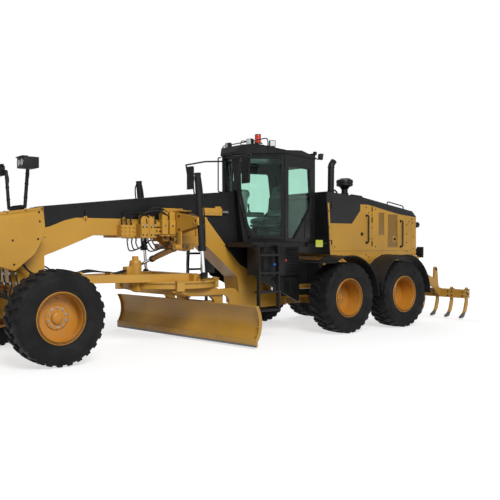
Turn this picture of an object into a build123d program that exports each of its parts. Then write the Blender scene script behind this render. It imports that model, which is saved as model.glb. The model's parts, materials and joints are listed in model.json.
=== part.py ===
"""Motor grader: one STEP file per node, millimetres, +X forward, +Y machine left, +Z up."""
import os
from math import cos, radians, sin

from build123d import *

# Driving sizes.
MID = -2035.0            # middle of the tandem, along X
TANDEM_GAP = 1523.0      # between the tandem wheels
AXLE_X = 4088.0          # front axle
HITCH_X = -835.0         # vertical pins between the two frames
TYRE_R, TYRE_W = 620.0, 445.0
TRACK_HALF = 1100.0
AXLE_Z = TYRE_R
RIM_R, RIM_EDGE = 312.0, 190.0
KINGPIN_Y, LEAN_Y, LEAN_Z = 800.0, 700.0, 560.0
BALL = (3670.0, 0.0, 930.0)          # drawbar's front pins
CIRCLE_X, CIRCLE_Y = 1640.0, 0.0
CIRCLE_TURN = 7.0                    # blade's angle as it stands, degrees
BLADE_X = -270.0                     # cutting edge, ahead of the circle's centre
BLADE_HALF = 1700.0
TIP_X, TIP_Z = -550.0, 300.0
LIFT_BALL = (1535.0, 835.0, 1070.0)
LIFT_PIVOT = (1605.0, 845.0, 1900.0)
SHIFT_PIVOT = (1750.0, 420.0, 1500.0)
SHIFT_EYE = (1750.0, -720.0, 1190.0)
RIPPER_PIVOT = (-4290.0, 0.0, 900.0)
HALF_BEAM = 150.0
TIE_Z = 497.0            # tie rod and its cylinder
FIT = 0.3


def box(x0, x1, y0, y1, z0, z1):
    return Pos((x0 + x1) / 2, (y0 + y1) / 2, (z0 + z1) / 2) * Box(x1 - x0, y1 - y0, z1 - z0)


def rod(a, b, r):
    a, b = Vector(a), Vector(b)
    plane = Plane(origin=a, z_dir=(b - a).normalized())
    return plane * Cylinder(r, (b - a).length, align=(Align.CENTER, Align.CENTER, Align.MIN))


def tube(a, b, r, bore):
    return rod(a, b, r) - rod(a, b, bore)


def prism(points, way, length):
    face = make_face(Polyline(*points, close=True))
    return extrude(face, amount=length, dir=way)


def slab_y(points, y0, y1):
    return prism([(x, y0, z) for x, z in points], (0, 1, 0), y1 - y0)


def slab_x(points, x0, x1):
    return prism([(x0, y, z) for y, z in points], (1, 0, 0), x1 - x0)


def slab_z(points, z0, z1):
    return prism([(x, y, z0) for x, y in points], (0, 0, 1), z1 - z0)


def join(pieces):
    whole = pieces[0]
    for piece in pieces[1:]:
        whole = whole + piece
    return whole


def cut(solid, tools):
    for tool in tools:
        solid = solid - tool
    return solid


def other_side(shape):
    return mirror(shape, about=Plane.XZ)


def both(shape):
    return Compound(children=list(shape.solids()) + list(other_side(shape).solids()))


def group(*shapes):
    return Compound(children=[s for shape in shapes for s in shape.solids()])


def arc(cx, cz, r, a0, a1, n):
    steps = [radians(a0 + (a1 - a0) * i / n) for i in range(n + 1)]
    return [(cx + r * cos(a), cz + r * sin(a)) for a in steps]


def along(a, b, t):
    return tuple(p + (q - p) * t for p, q in zip(a, b))


def toward(a, b, d):
    a, b = Vector(a), Vector(b)
    return tuple(a + (b - a).normalized() * d)


# Wheels, built about the origin with the outside at +Y.

def tyre():
    half = [(RIM_R, 174), (340, 174), (395, 205), (500, 222.5), (575, 216), (612, 196),
            (TYRE_R, 168)]
    pts = [(r, -y) for r, y in half] + [(r, y) for r, y in reversed(half)]
    return revolve(make_face(Polyline(*pts, close=True)), Axis.Y)


def rim(depth, hub_in):
    face_y = RIM_EDGE - depth
    back_y = face_y - 20
    pts = [(60 + FIT, hub_in), (150, hub_in), (150, back_y), (300, back_y), (300, -RIM_EDGE),
           (336, -RIM_EDGE), (336, -174 - FIT), (RIM_R, -174 - FIT), (RIM_R, 174 + FIT),
           (336, 174 + FIT), (336, RIM_EDGE), (300, RIM_EDGE), (300, face_y), (165, face_y),
           (150, face_y + 14), (84, face_y + 14), (76, face_y + 46), (0, face_y + 46),
           (0, face_y - 8), (60 + FIT, face_y - 8)]
    return revolve(make_face(Polyline(*pts, close=True)), Axis.Y)


def wheel_places():
    return {"tandem_front": (MID + TANDEM_GAP / 2, 300, -195),
            "tandem_rear": (MID - TANDEM_GAP / 2, 300, -195),
            "front": (AXLE_X, 158, -170)}


# Rear frame and what it carries.

def rear_frame():
    rails = [box(-4120, -1450, s * 390 - 50, s * 390 + 50, 860, 1250) for s in (1, -1)]
    lugs = []
    for s in (1, -1):
        y0, y1 = sorted((s * 430, s * 575))
        lugs += [box(-1560, -1440, y0, y1, 706, 744), box(-1560, -1440, y0, y1, 836, 874)]
    body = join([box(MID - 230, MID + 230, -430, 430, 400, 900)] + rails + [
        box(-1560, -1400, -440, 440, 600, 1250),
        box(-1420, HITCH_X, -130, 130, 560, 1210),
        Pos(HITCH_X, 0, 885) * Cylinder(130, 650),
        Pos(HITCH_X, 0, 875) * Cylinder(50, 890),
        box(-4165, -4110, -620, 620, 760, 1300),
        box(-4110, -4060, -340, 340, 860, 1200)] + lugs)
    mounts = [box(-4340, -4160, s * 565 - 20, s * 565 + 20, 780, 1150) for s in (1, -1)]
    body = join([body] + mounts)
    return body - rod((-4290, -650, 900), (-4290, 650, 900), 30 + FIT)


def engine():
    feet = [box(-3000, -1750, -430, 430, 1250, 1290)]
    return join([box(-3000, -1750, -300, 300, 1290, 2100)] + feet)


def tandem_cases():
    x0, x1 = MID - TANDEM_GAP / 2, MID + TANDEM_GAP / 2
    z = AXLE_Z
    pieces = [box(x0, x1, 620, 830, z - 255, z + 255)]
    for x in (x0, x1):
        pieces += [rod((x, 620, z), (x, 830, z), 255), rod((x, 830, z), (x, 905 - FIT, z), 150),
                   rod((x, 800, z), (x, 980, z), 60)]
    pieces += [rod((MID, 430, z), (MID, 640, z), 200)]
    return both(join(pieces))


def fenders():
    z, inner, outer = AXLE_Z, 722.0, 730.0
    found = []
    for x, a0, lip in ((MID + TANDEM_GAP / 2, 58, True), (MID - TANDEM_GAP / 2, 8, False)):
        pts = arc(x, z, outer, a0, 180, 16) + arc(x, z, inner, 180, a0, 16)
        pieces = [slab_y(pts, 885, 1335)]
        pieces += [slab_x([(760, z + 255), (790, z + 255), (790, 1317), (1300, 1317), (1300, 1344),
                           (760, 1344)], x - 30, x + 30)]
        if lip:
            top = z + outer * sin(radians(a0))
            start = x + inner * cos(radians(a0)) - 6
            pieces += [box(start, x + 760, 885, 1335, top - 9, top)]
        found.append(join(pieces))
    return group(both(found[0]), both(found[1]))


HOOD_PROFILE = [(-1395, 2505), (-2376, 2440), (-3908, 2215), (-4035, 2112), (-4040, 1370),
                (-2300, 1370), (-2200, 1262), (-1600, 1262), (-1480, 1370)]
HOOD_INNER = [(-1437, 2460), (-2376, 2395), (-3890, 2172), (-3990, 2090), (-3998, 1262),
              (-1525, 1262)]
DOORS = {"front": [(-1540, 1420), (-1520, 2385), (-2376, 2365), (-2625, 2325), (-2625, 1420)],
         "rear": [(-2680, 1420), (-2680, 2315), (-3885, 2140), (-3885, 1420)]}


def grow(points, by):
    cx = sum(p[0] for p in points) / len(points)
    cz = sum(p[1] for p in points) / len(points)
    return [(x + (by if x > cx else -by), z + (by if z > cz else -by)) for x, z in points]


def hood():
    body = slab_y(HOOD_PROFILE, -640, 640) - slab_y(HOOD_INNER, -600, 600)
    for points in DOORS.values():
        for s in (1, -1):
            y0, y1 = sorted((s * (628 - FIT), s * 650))
            body = body - slab_y(grow(points, 5), y0, y1)
            y0, y1 = sorted((s * 590, s * 640))
            body = body - slab_y(grow(points, -30), y0, y1)
    feet = [box(-1620, -1560, -625, 625, 1250, 1320), box(-3990, -3950, -625, 625, 1250, 1400)]
    rear = [box(-4060, -3980, -470, 470, 1480 + 62 * i, 1512 + 62 * i) for i in range(9)]
    return cut(join([body] + feet), rear)


def hood_door(name):
    return slab_y(DOORS[name], 628, 640)


def exhaust_and_intake():
    stack = join([rod((-1870, 300, 2400), (-1880, 300, 3060), 62),
                  rod((-1880, 300, 3030), (-1945, 300, 3110), 62)])
    bowl = join([rod((-2463, 120, 2380), (-2463, 120, 2700), 60),
                 rod((-2463, 120, 2685), (-2463, 120, 2815), 160),
                 rod((-2463, 120, 2815), (-2463, 120, 2843), 120)])
    top = slab_y([(-1395, 2505), (-2376, 2440), (-3908, 2215), (-3908, 2050), (-1395, 2200)],
                 -600, 600)
    return group(stack - top, bowl - top)


def ripper():
    hinge_x, _, hinge_z = RIPPER_PIVOT
    pieces = [box(-5065, -4905, -1210, 1210, 430, 600)]
    for s in (1, -1):
        y0, y1 = sorted((s * (585 + FIT), s * 625))
        pieces += [slab_y([(hinge_x + 45, hinge_z + 45), (hinge_x + 45, hinge_z - 45),
                           (-4700, 620), (-4905, 440), (-4905, 590), (-4850, 640),
                           (-4800, 1040), (-4760, 1075), (-4705, 1060), (-4690, 830),
                           (hinge_x - 60, hinge_z + 60)], y0, y1)]
        pieces += [rod((hinge_x, s * 530, hinge_z), (hinge_x, s * 600, hinge_z), 30)]
    pieces += [slab_y([(-4960, 560), (-4860, 560), (-4880, 700), (-4940, 700)], 26 + FIT, 52)]
    pieces += [box(-4915, -4860, 26 + FIT, 52, 540, 640)]
    for i in range(8):
        y = (i - 3.5) * 340
        pieces += [slab_y([(-5015, 650), (-5015, 330), (-4960, 165), (-4850, 50), (-4760, 30),
                           (-4752, 58), (-4830, 100), (-4890, 205), (-4940, 380),
                           (-4945, 650)], y - 18, y + 18)]
    return join(pieces)


RIPPER_TOP = (-4250, 0, 1080)
RIPPER_EYE = (-4910, 0, 660)


def ripper_barrel():
    a, b = RIPPER_TOP, toward(RIPPER_TOP, RIPPER_EYE, 500)
    return join([tube(a, b, 45, 36), rod(toward(a, b, -30), toward(a, b, 20), 45),
                 tube(toward(a, b, 470), toward(a, b, 500), 45, 25 + FIT)])


def ripper_rod():
    a, b = RIPPER_TOP, RIPPER_EYE
    length = (Vector(b) - Vector(a)).length
    eye = rod((b[0], -26, b[2]), (b[0], 26, b[2]), 40)
    return join([rod(toward(a, b, 330), toward(a, b, length), 25), eye])


# Front frame.

BEAM = [(4345, 1760), (4345, 1020), (3825, 1020), (3825, 1385), (3765, 1410), (3050, 1690),
        (1200, 1664), (960, 1490), (1015, 1935), (3339, 1935), (3520, 1891), (3734, 1805),
        (3920, 1760)]
GOOSENECK = [(1200, 1935), (1200, 1664), (960, 1490), (330, 990), (270, 520), (-100, 440),
             (-690, 440), (-690, 1500), (560, 1500), (900, 1870), (960, 1935)]


def front_frame():
    pieces = [slab_y(BEAM, -HALF_BEAM, HALF_BEAM), slab_y(GOOSENECK, -190, 190)]
    for z0, z1 in ((440, 560 - FIT), (1210 + FIT, 1310)):
        pieces += [box(HITCH_X, -680, -120, 120, z0, z1),
                   Pos(HITCH_X, 0, (z0 + z1) / 2) * Cylinder(120, z1 - z0)]
    pieces += [box(3760, 3900, -80, 80, 820, 1100)]
    for z0, z1 in ((820, 860), (1000, 1040)):
        pieces += [box(BALL[0], 3780, -40, 40, z0, z1),
                   Pos(BALL[0], 0, (z0 + z1) / 2) * Cylinder(40, z1 - z0)]
    for s in (1, -1):
        y0, y1 = sorted((s * 180, s * 420))
        pieces += [box(-360, -240, y0, y1, 706, 744)]
    body = join(pieces)
    return cut(body, [rod((HITCH_X, 0, 400), (HITCH_X, 0, 1400), 50 + FIT),
                      rod((BALL[0], 0, 700), (BALL[0], 0, 1100), 25 + FIT)])


def beam_cover():
    points = [(3920, 1760), (3920, 2072), (3759, 2092), (1160, 2376), (360, 2450), (345, 2200),
              (313, 1870), (287, 1590), (445, 1590), (445, 1500), (560, 1500), (900, 1870),
              (960, 1935), (3339, 1935), (3520, 1891), (3734, 1805)]
    return slab_y(points, -HALF_BEAM, HALF_BEAM)


def hose(points, r, leaves, arrives):
    path = Spline(*points, tangents=[leaves, arrives], tangent_scalars=[1, 1])
    return sweep(Plane(origin=path @ 0, z_dir=path % 0) * Circle(r), path=path)


def hoses():
    up, back = (0, 0, 1), (-1, 0, 0)
    made = [hose([(2190, 205, 1990 + FIT), (2150, 250, 2080), (1960, 300, 2100),
                  (1800, 260, 2030), (1690 + FIT, 214, 1990)], 13, up, back),
            hose([(2306, 235, 1860 + FIT), (2300, 285, 1985), (2110, 345, 2060),
                  (1900, 325, 2020), (1780, 260, 1950), (1690 + FIT, 214, 1930)], 13, up, back)]
    for i in (0, 1):
        made.append(hose([(3825 - FIT, 70 + 35 * i, 1240 - 45 * i),
                          (3745, 110 + 45 * i, 1200 - 40 * i), (3850, 235 + 35 * i, 1135 - 25 * i),
                          (4080, 290 + 40 * i, 1160 - 20 * i),
                          (4231.8, 300 + 40 * i, 1305.2)], 12, back, (0.629, 0, 0.777)))
    return both(Compound(children=[s for h in made for s in h.solids()]))


NOSE = [(3972, 2058), (4900, 1915), (5020, 1800), (5020, 1250), (4930, 1215), (4571, 1255),
        (4366, 1197), (4098, 1414), (4028, 1534), (3945, 1784)]


def nose_cover():
    points = NOSE
    cover = slab_y(points, -450, 450) - box(3800, 4345, -HALF_BEAM, HALF_BEAM, 1000, 1760)
    bolts = [rod((4980, y, z), (5070, y, z), 13) for y in (-300, 300) for z in (1360, 1660)]
    return cut(cover + box(5010, 5065, -420, 420, 1260, 1760), bolts)


def blade_saddle():
    x, reach, high = LIFT_PIVOT
    pieces = []
    for s in (1, -1):
        y0, y1 = sorted((s * 150, s * 200))
        pieces += [slab_y([(1480, 1465), (1590, 1465), (1600, 1595), (1850, 1595), (1850, 2120),
                           (1480, 2120)], y0, y1)]
        for x0 in (x - 85, x + 60):
            arm = [(s * y, z) for y, z in ((190, 1700), (190, 2080), (reach - 130, 1985),
                                           (reach + 45, 1960), (reach + 55, 1840),
                                           (reach - 130, 1800))]
            pieces += [slab_x(arm, x0, x0 + 25) - rod((x0 - 5, s * reach, high),
                                                      (x0 + 30, s * reach, high), 23)]
        y0, y1 = sorted((s * 190, s * 215))
        pieces += [box(x - 85, x + 85, y0, y1, 1700, 2080)]
    pieces += [box(1490, 1560, -520, 520, 1465, 1555)]
    hanger = slab_x([(380, 1750), (460, 1750), (460, 1460), (380, 1460)], 1675, 1700)
    pieces += [hanger]
    holes = [rod((1400, y, 1510), (1600, y, 1510), 20) for y in (-440, -330, -220, 220, 330, 440)]
    return cut(join(pieces), holes)


def valve_bank():
    return both(join([box(2050, 2330, 150, 300, 1640, 1860), box(2100, 2280, 150, 260, 1860, 1990),
                      box(2420, 2660, 150, 280, 1650, 1840)]))


# Front axle, lean and steering.

def front_axle():
    x, z = AXLE_X, LEAN_Z
    arm = [(0, 1019), (180, 1019), (300, 940), (660, 700), (735, 620), (735, 505), (640, 470),
           (200, 700), (0, 700)]
    half = slab_x(arm, x - 80, x + 80)
    body = join([half, other_side(half), box(x - 130, x + 130, -200, 200, 740, 1020)])
    for s in (1, -1):
        y0, y1 = sorted((s * 560, s * 800))
        body = cut(body, [box(x - 50 - FIT, x + 50 + FIT, y0, y1, 440, 800),
                          rod((x - 100, s * LEAN_Y, z), (x + 100, s * LEAN_Y, z), 25 + FIT)])
    steer = tube((x - 280, -300, TIE_Z), (x - 280, 300, TIE_Z), 40, 22 + FIT)
    lean = tube((x + 120, -250, 840), (x + 120, 250, 840), 40, 20 + FIT)
    links = [slab_y([(x - 325, 530), (x - 240, 530), (x - 50, 760), (x - 50, 860),
                     (x - 110, 960), (x - 200, 820)], s * 150 - 20, s * 150 + 20)
             for s in (1, -1)]
    axis = ((x - 280, -400, TIE_Z), (x - 280, 400, TIE_Z))
    links = [cut(link, [rod(*axis, 36)]) for link in links]
    return cut(join([body, steer, lean] + links), [rod(*axis,
                                                       22 + FIT),
                                                   rod((x + 120, -400, 840), (x + 120, 400, 840),
                                                       20 + FIT)])


def lean_yoke():
    x = AXLE_X
    web = slab_x([(665, 520), (715, 505), (735, 475), (790, 475), (790, 530), (750, 530),
                  (750, 700), (790, 700), (790, 755), (735, 875), (680, 875), (670, 800)],
                 x - 50, x + 50)
    pin = rod((x - 80, LEAN_Y, LEAN_Z), (x + 80, LEAN_Y, LEAN_Z), 25)
    eyes = [rod((x, KINGPIN_Y, z0), (x, KINGPIN_Y, z1), 42) for z0, z1 in ((475, 530), (700, 755))]
    kingpin = rod((x, KINGPIN_Y, 475), (x, KINGPIN_Y, 755), 24)
    top = box(x - 50, x + 90, 680, 730, 790, 875)
    return join([web, pin, kingpin, top] + eyes)


def knuckle():
    x, y = AXLE_X, KINGPIN_Y
    block = [rod((x, y, 530 + FIT), (x, y, 700 - FIT), 42),
             box(x - 55, x + 55, y + 15, y + 80, 530 + FIT, 700 - FIT),
             rod((x, 840, AXLE_Z), (x, 1095, AXLE_Z), 60),
             box(x - 30, x + 30, y + 48, y + 80, 425, 560),
             slab_z([(x + 30, y + 48), (x + 30, y + 80), (x - 30, y + 80), (x - 300, 762),
                     (x - 318, 718), (x - 285, 690), (x - 250, 700), (x - 40, y + 48)], 425, 455)]
    return join(block) - rod((x, y, 500), (x, y, 720), 24 + FIT)


def tie_rod():
    x = AXLE_X - 280
    ends = [Pos(x, s * 720, TIE_Z) * Cylinder(38, 34) for s in (1, -1)]
    return join([rod((x, -710, TIE_Z), (x, 710, TIE_Z), 22)] + ends)


def lean_bar():
    x = AXLE_X + 120
    ends = [rod((x - 30 + FIT, s * LEAN_Y, 840), (x + 20, s * LEAN_Y, 840), 34) for s in (1, -1)]
    return join([rod((x, -700, 840), (x, 700, 840), 20)] + ends)


# Drawbar, circle and blade.

def drawbar_cross():
    x, y, z = BALL
    return join([rod((x, 0, 820), (x, 0, 1040), 25), Pos(x, y, z) * Sphere(60),
                 rod((x, -106, z), (x, 106, z), 25)])


def drawbar():
    bx, _, bz = BALL
    top, low = 1090.0, 955.0
    pieces = [slab_z([(3590, -105), (3590, 105), (3360, 150), (2300, 470), (1500, 620),
                      (1500, 480), (2240, 330), (3240, 30), (3240, -30), (2240, -330),
                      (1500, -480), (1500, -620), (2300, -470), (3360, -150)], 975, top)]
    for s in (1, -1):
        y0, y1 = sorted((s * 72, s * 105))
        pieces += [box(3560, bx, y0, y1, bz - 40, bz + 70),
                   rod((bx, y0, bz), (bx, y1, bz), 42)]
    pieces += [box(3440, 3600, -105, 105, 890, 1000)]
    pieces += [box(1480, 1640, -725, 725, 960, top)]
    plate = Pos(CIRCLE_X, 0, (low + 985) / 2) * Cylinder(800, 985 - low)
    pieces += [plate - Pos(CIRCLE_X, 0, 950) * Cylinder(560, 100)]
    pieces += [Pos(2250, 0, 1110) * Cylinder(100, 250), box(2080, 2420, -330, 330, 985, 1020)]
    for a in (20, 70, 160, 200, 290, 340):
        shoe = box(779, 850, -60, 60, 838, 985) + box(735, 800, -60, 60, 838, 870 - FIT)
        pieces += [Pos(CIRCLE_X, 0, 0) * Rot(0, 0, a) * shoe]
    for s in (1, -1):
        y0, y1 = sorted((s * 715, s * 785))
        pieces += [box(1480, 1590, y0, y1, 975, 1024),
                   rod((LIFT_BALL[0], y1 if s > 0 else y0, 1008),
                       (LIFT_BALL[0], s * 835, 1008), 14)]
    pieces += [box(1700, 1880, -790, -650, 980, 1090),
               slab_x([(-780, 1000), (-660, 1000), (-675, 1230), (-765, 1230)],
                      SHIFT_EYE[0] + 103, SHIFT_EYE[0] + 128)]
    body = join(pieces)
    return body - rod((bx, -130, bz), (bx, 130, bz), 25 + FIT)


def turned(shape):
    return Pos(CIRCLE_X, CIRCLE_Y, 0) * Rot(0, 0, CIRCLE_TURN) * shape


def circle():
    ring = Pos(0, 0, 912.35) * Cylinder(775, 84.7) - Pos(0, 0, 912) * Cylinder(640, 100)
    pieces = [ring]
    for s in (1, -1):
        y0, y1 = sorted((s * 560, s * 610))
        arm = [(395, 872), (395, 820), (200, 745), (-380, 715), (-470, 640), (-475, 270),
               (-520, 225), (-600, 225), (-640, 280), (-660, 760), (-480, 872)]
        pieces += [slab_y(arm, y0, y1)]
    pieces += [box(175, 255, -600, 600, 755, 850)]
    y0 = 38 + FIT
    pieces += [box(85, 180, y0, y0 + 25, 760, 850)]
    body = join(pieces)
    holes = [rod((TIP_X, s * 500, TIP_Z), (TIP_X, s * 700, TIP_Z), 25 + FIT) for s in (1, -1)]
    return turned(cut(body, holes))


TIP_HEAD = (120.0, 0.0, 800.0)
TIP_EYE = (-450.0, 0.0, 680.0)
SIDE_X, SIDE_Z = -430.0, 380.0


def tip_carrier():
    pieces = []
    for s in (1, -1):
        y0, y1 = sorted((s * 440, s * 540))
        side = slab_y([(-390, 150), (-390, 600), (-430, 640), (-500, 640), (-600, 560),
                       (-600, 260), (-560, 150)], y0, y1)
        pieces += [side, rod((TIP_X, s * 500, TIP_Z), (TIP_X, s * 610, TIP_Z), 25)]
    pieces += [box(-500, -440, -500, 500, 570, 630)]
    pieces += [slab_y([(-490, 600), (-420, 600), (-420, 700), (-470, 715)], -48, -23 - FIT)]
    pieces += [rod((SIDE_X, -545, SIDE_Z), (SIDE_X, 545, SIDE_Z), 34)]
    tools = [rod((SIDE_X, -520, SIDE_Z), (SIDE_X, 500, SIDE_Z), 28),
             rod((SIDE_X, 490, SIDE_Z), (SIDE_X, 560, SIDE_Z), 18 + FIT)]
    for z0, z1 in ((490, 550), (210, 270)):
        tools += [box(-430 - FIT, -380, -560, 560, z0 - FIT, z1 + FIT)]
    return turned(cut(join(pieces), tools))


def blade_arc(radius, z0, z1, n):
    cx, cz = BLADE_X + 325, 380.0
    found = []
    for i in range(n + 1):
        z = z0 + (z1 - z0) * i / n
        found.append((cx - (radius ** 2 - (z - cz) ** 2) ** 0.5, z))
    return found


def moldboard():
    face = blade_arc(413, 125, 635, 10)
    back = blade_arc(435, 635, 125, 10)
    pieces = [slab_y(face + back, -BLADE_HALF, BLADE_HALF)]
    for z0, z1 in ((490, 550), (210, 270)):
        pieces += [box(-430, -350, -1300, 1300, z0, z1)]
    pieces += [rod((SIDE_X, 0, SIDE_Z), (SIDE_X, 1440, SIDE_Z), 18),
               box(-460, -362, 1410, 1450, 340, 420)]
    body = join(pieces)
    x0 = blade_arc(413, 125, 635, 1)[0][0]
    foot = slab_y([(x0 + 16, 30), (x0 + 16, 130), (x0 - 14, 130), (x0 - 14, 60), (x0, 30)],
                  -BLADE_HALF, BLADE_HALF)
    return turned(join([body, foot]))


def tip_barrel():
    a, b = TIP_HEAD, toward(TIP_HEAD, TIP_EYE, 360)
    return turned(join([tube(a, b, 38, 30), rod((a[0], -38, a[2]), (a[0], 38, a[2]), 38),
                        tube(toward(a, b, 340), toward(a, b, 360), 38, 22 + FIT)])
                  - turned(rod(toward(a, b, 60), toward(a, b, 338), 30)))


def tip_rod():
    b = TIP_EYE
    return turned(join([rod(toward(TIP_HEAD, b, 240), b, 22),
                        rod((b[0], -23, b[2]), (b[0], 23, b[2]), 36)]))


# Cylinders.

def lift_barrel():
    low, mid = LIFT_BALL, LIFT_PIVOT
    a, b = toward(low, mid, 390), toward(low, mid, 1565)
    shell = join([rod(a, b, 50), rod(toward(low, mid, 380), toward(low, mid, 440), 60),
                  rod((mid[0] - 85, mid[1], mid[2]), (mid[0] + 85, mid[1], mid[2]), 22),
                  rod(toward(low, mid, 810), toward(low, mid, 865), 52)])
    return cut(shell, [rod(toward(low, mid, 435), toward(low, mid, 1535), 42),
                       rod(toward(low, mid, 370), toward(low, mid, 440), 30 + FIT)])


def lift_rod():
    low, mid = LIFT_BALL, LIFT_PIVOT
    return join([rod(low, toward(low, mid, 1050), 30), Pos(*low) * Sphere(36)])


def shift_barrel():
    a, b = SHIFT_PIVOT, toward(SHIFT_PIVOT, SHIFT_EYE, 760)
    shell = join([rod(toward(a, b, 20), b, 45), rod((a[0] - 50 + FIT, a[1], a[2]),
                                                    (a[0] + 50, a[1], a[2]), 45)])
    return cut(shell, [rod(toward(a, b, 60), toward(a, b, 735), 36),
                       rod(toward(a, b, 730), toward(a, b, 770), 25 + FIT)])


def shift_rod():
    a, b = SHIFT_PIVOT, SHIFT_EYE
    eye = rod((b[0] - 27, b[1], b[2]), (b[0] + 27, b[1], b[2]), 38)
    return join([rod(toward(a, b, 560), b, 25), eye])


HINGE_A = (-1500.0, 530.0, 790.0)
HINGE_B = (-300.0, 380.0, 790.0)


def swing_barrel():
    a, b = HINGE_A, toward(HINGE_A, HINGE_B, 700)
    shell = join([rod(a, b, 45), Pos(a[0], a[1], 790) * Cylinder(45, 92 - 2 * FIT)])
    return cut(shell, [rod(toward(a, b, 60), toward(a, b, 675), 36),
                       rod(toward(a, b, 670), toward(a, b, 710), 25 + FIT)])


def swing_rod():
    a, b = HINGE_A, HINGE_B
    eye = Pos(b[0], b[1], (744 + FIT + 820) / 2) * Cylinder(40, 820 - 744 - FIT)
    return join([rod(toward(a, b, 480), b, 25), eye])


# Cab, built on the front frame.

CAB_FRONT = [(1580, 275), (2200, 335), (2700, 362), (3090, 378)]
CAB_TOP = 3090.0
CORNER_A, CORNER_B, CORNER_C = (410.0, 145.0), (-226.0, 800.0), (-1240.0, 500.0)


def front_x(z):
    for (z0, x0), (z1, x1) in zip(CAB_FRONT, CAB_FRONT[1:]):
        if z <= z1:
            return x0 + (x1 - x0) * (z - z0) / (z1 - z0)
    return CAB_FRONT[-1][1]


def side_frame(a, b):
    d = Vector(b[0] - a[0], b[1] - a[1], 0).normalized()
    n = Vector(-d.Y, d.X, 0)
    if n.Y < 0:
        n = -n
    return Vector(a[0], a[1], 0), d, n


def side_slab(frame, points, n0, n1):
    origin, d, n = frame
    pts = [origin + d * s + n * n0 + Vector(0, 0, z) for s, z in points]
    return prism([tuple(p) for p in pts], tuple(n), n1 - n0)


DOOR_SIDE = side_frame(CORNER_B, CORNER_A)
REAR_SIDE = side_frame(CORNER_B, CORNER_C)
DOOR = [(25, 1625), (570, 1625), (700, 1870), (803, 2440), (822, 3050), (25, 3050)]
DOOR_GLASS = [(78, 1680), (520, 1680), (645, 1875), (765, 2440), (782, 3010), (78, 3010)]
REAR_PANE = [(90, 1640), (300, 1640), (925, 2235), (850, 2890), (90, 2890)]


def cab_block(inset, z0, z1):
    plan = []
    for (x, y), ix, iy in ((CORNER_A, 1.0, 1.2), (CORNER_B, 0, 1.0), (CORNER_C, -1.0, 0.75)):
        plan.append((x - inset * ix, y - inset * iy))
    outline = plan + [(x, -y) for x, y in reversed(plan)]
    block = slab_z(outline, z0, z1)
    side = [(x - inset, z) for z, x in CAB_FRONT] + [(-1300, CAB_TOP), (-1300, 1580)]
    return block & slab_y(side, -1000, 1000)


def cab_shell():
    body = cab_block(0, 1580, CAB_TOP) - cab_block(60, 1640, 3040) + cab_roof()
    for side in (1, -1):
        tools = [side_slab(DOOR_SIDE, grow(DOOR, 5), -42 - FIT, 20),
                 side_slab(DOOR_SIDE, grow(DOOR, -15), -120, 20),
                 side_slab(REAR_SIDE, REAR_PANE, -120, 20)]
        for tool in tools:
            body = body - (tool if side > 0 else other_side(tool))
    body = body - box(150, 600, -125, 125, 1700, 3030) - box(-1300, -1100, -380, 380, 2050, 2960)
    return body


def cab_glass():
    levels = (1700, 2200, 2700, 3030)
    wind = slab_y([(front_x(z) - 30, z) for z in levels]
                  + [(front_x(z) - 38, z) for z in reversed(levels)], -125, 125)
    rear = box(-1225, -1217, -380, 380, 2050, 2960)
    side = side_slab(REAR_SIDE, REAR_PANE, -34, -26)
    return group(wind, rear, both(side))


def cab_door():
    leaf = side_slab(DOOR_SIDE, DOOR, -42, 0) - side_slab(DOOR_SIDE, DOOR_GLASS, -60, 20)
    return group(leaf, side_slab(DOOR_SIDE, DOOR_GLASS, -26, -18))


def cab_roof():
    plan = [(425, 165), (-226, 830), (-1272, 520)]
    block = slab_z(plan + [(x, -y) for x, y in reversed(plan)], CAB_TOP, 3300)
    side = [(402, 3090), (402, 3128), (300, 3248), (0, 3262), (-300, 3235), (-1000, 3150),
            (-1285, 3102), (-1285, 3090)]
    across = [(-850, 3090), (-850, 3130), (-430, 3270), (430, 3270), (850, 3130), (850, 3090)]
    return block & slab_y(side, -1000, 1000) & slab_x(across, -1400, 500)


def cab_interior():
    seat = join([box(-710, -410, -130, 130, 1640, 1900), box(-800, -270, -250, 250, 1900, 2020),
                 slab_y([(-850, 1960), (-710, 1960), (-790, 2640), (-910, 2640)], -235, 235),
                 box(-710, -280, -330, -260, 1980, 2140), box(-710, -280, 260, 330, 1980, 2140),
                 box(-570, -510, -330, 330, 1960, 2000)])
    console = join([slab_y([(60, 1640), (200, 1640), (205, 1700), (110, 2150), (20, 2230),
                            (-10, 2170), (80, 2060)], -90, 90)])
    return group(seat, console)


# Deck, ladders, lamps, mirrors.

def platform():
    deck = slab_z([(430, -600), (430, 600), (330, 900), (-500, 900), (-1100, 450), (-1100, -450),
                   (-500, -900), (330, -900)], 1500, 1580)
    pieces = [deck]
    for s in (1, -1):
        y0, y1 = sorted((s * 450, s * 880))
        pieces += [box(-140, 330, y0, y1, 1030, 1510)]
        y0, y1 = sorted((s * 400, s * 690))
        pieces += [box(-640, -135, y0, y1, 1010, 1505)]
        y0, y1 = sorted((s * 250, s * 890))
        pieces += [box(320, 600, y0, y1, 1500, 1580)]
        for x in (105, 530):
            pieces += [slab_x([(s * 860, 1530), (s * 990, 1530), (s * 1010, 1180),
                               (s * 1010, 450), (s * 950, 450), (s * 950, 1180),
                               (s * 930, 1440), (s * 860, 1480)], x, x + 30)]
        for z in (465, 760, 1070, 1360):
            y0, y1 = sorted((s * 900, s * 1010))
            pieces += [box(105, 560, y0, y1, z, z + 25)]
    return join(pieces)


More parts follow.
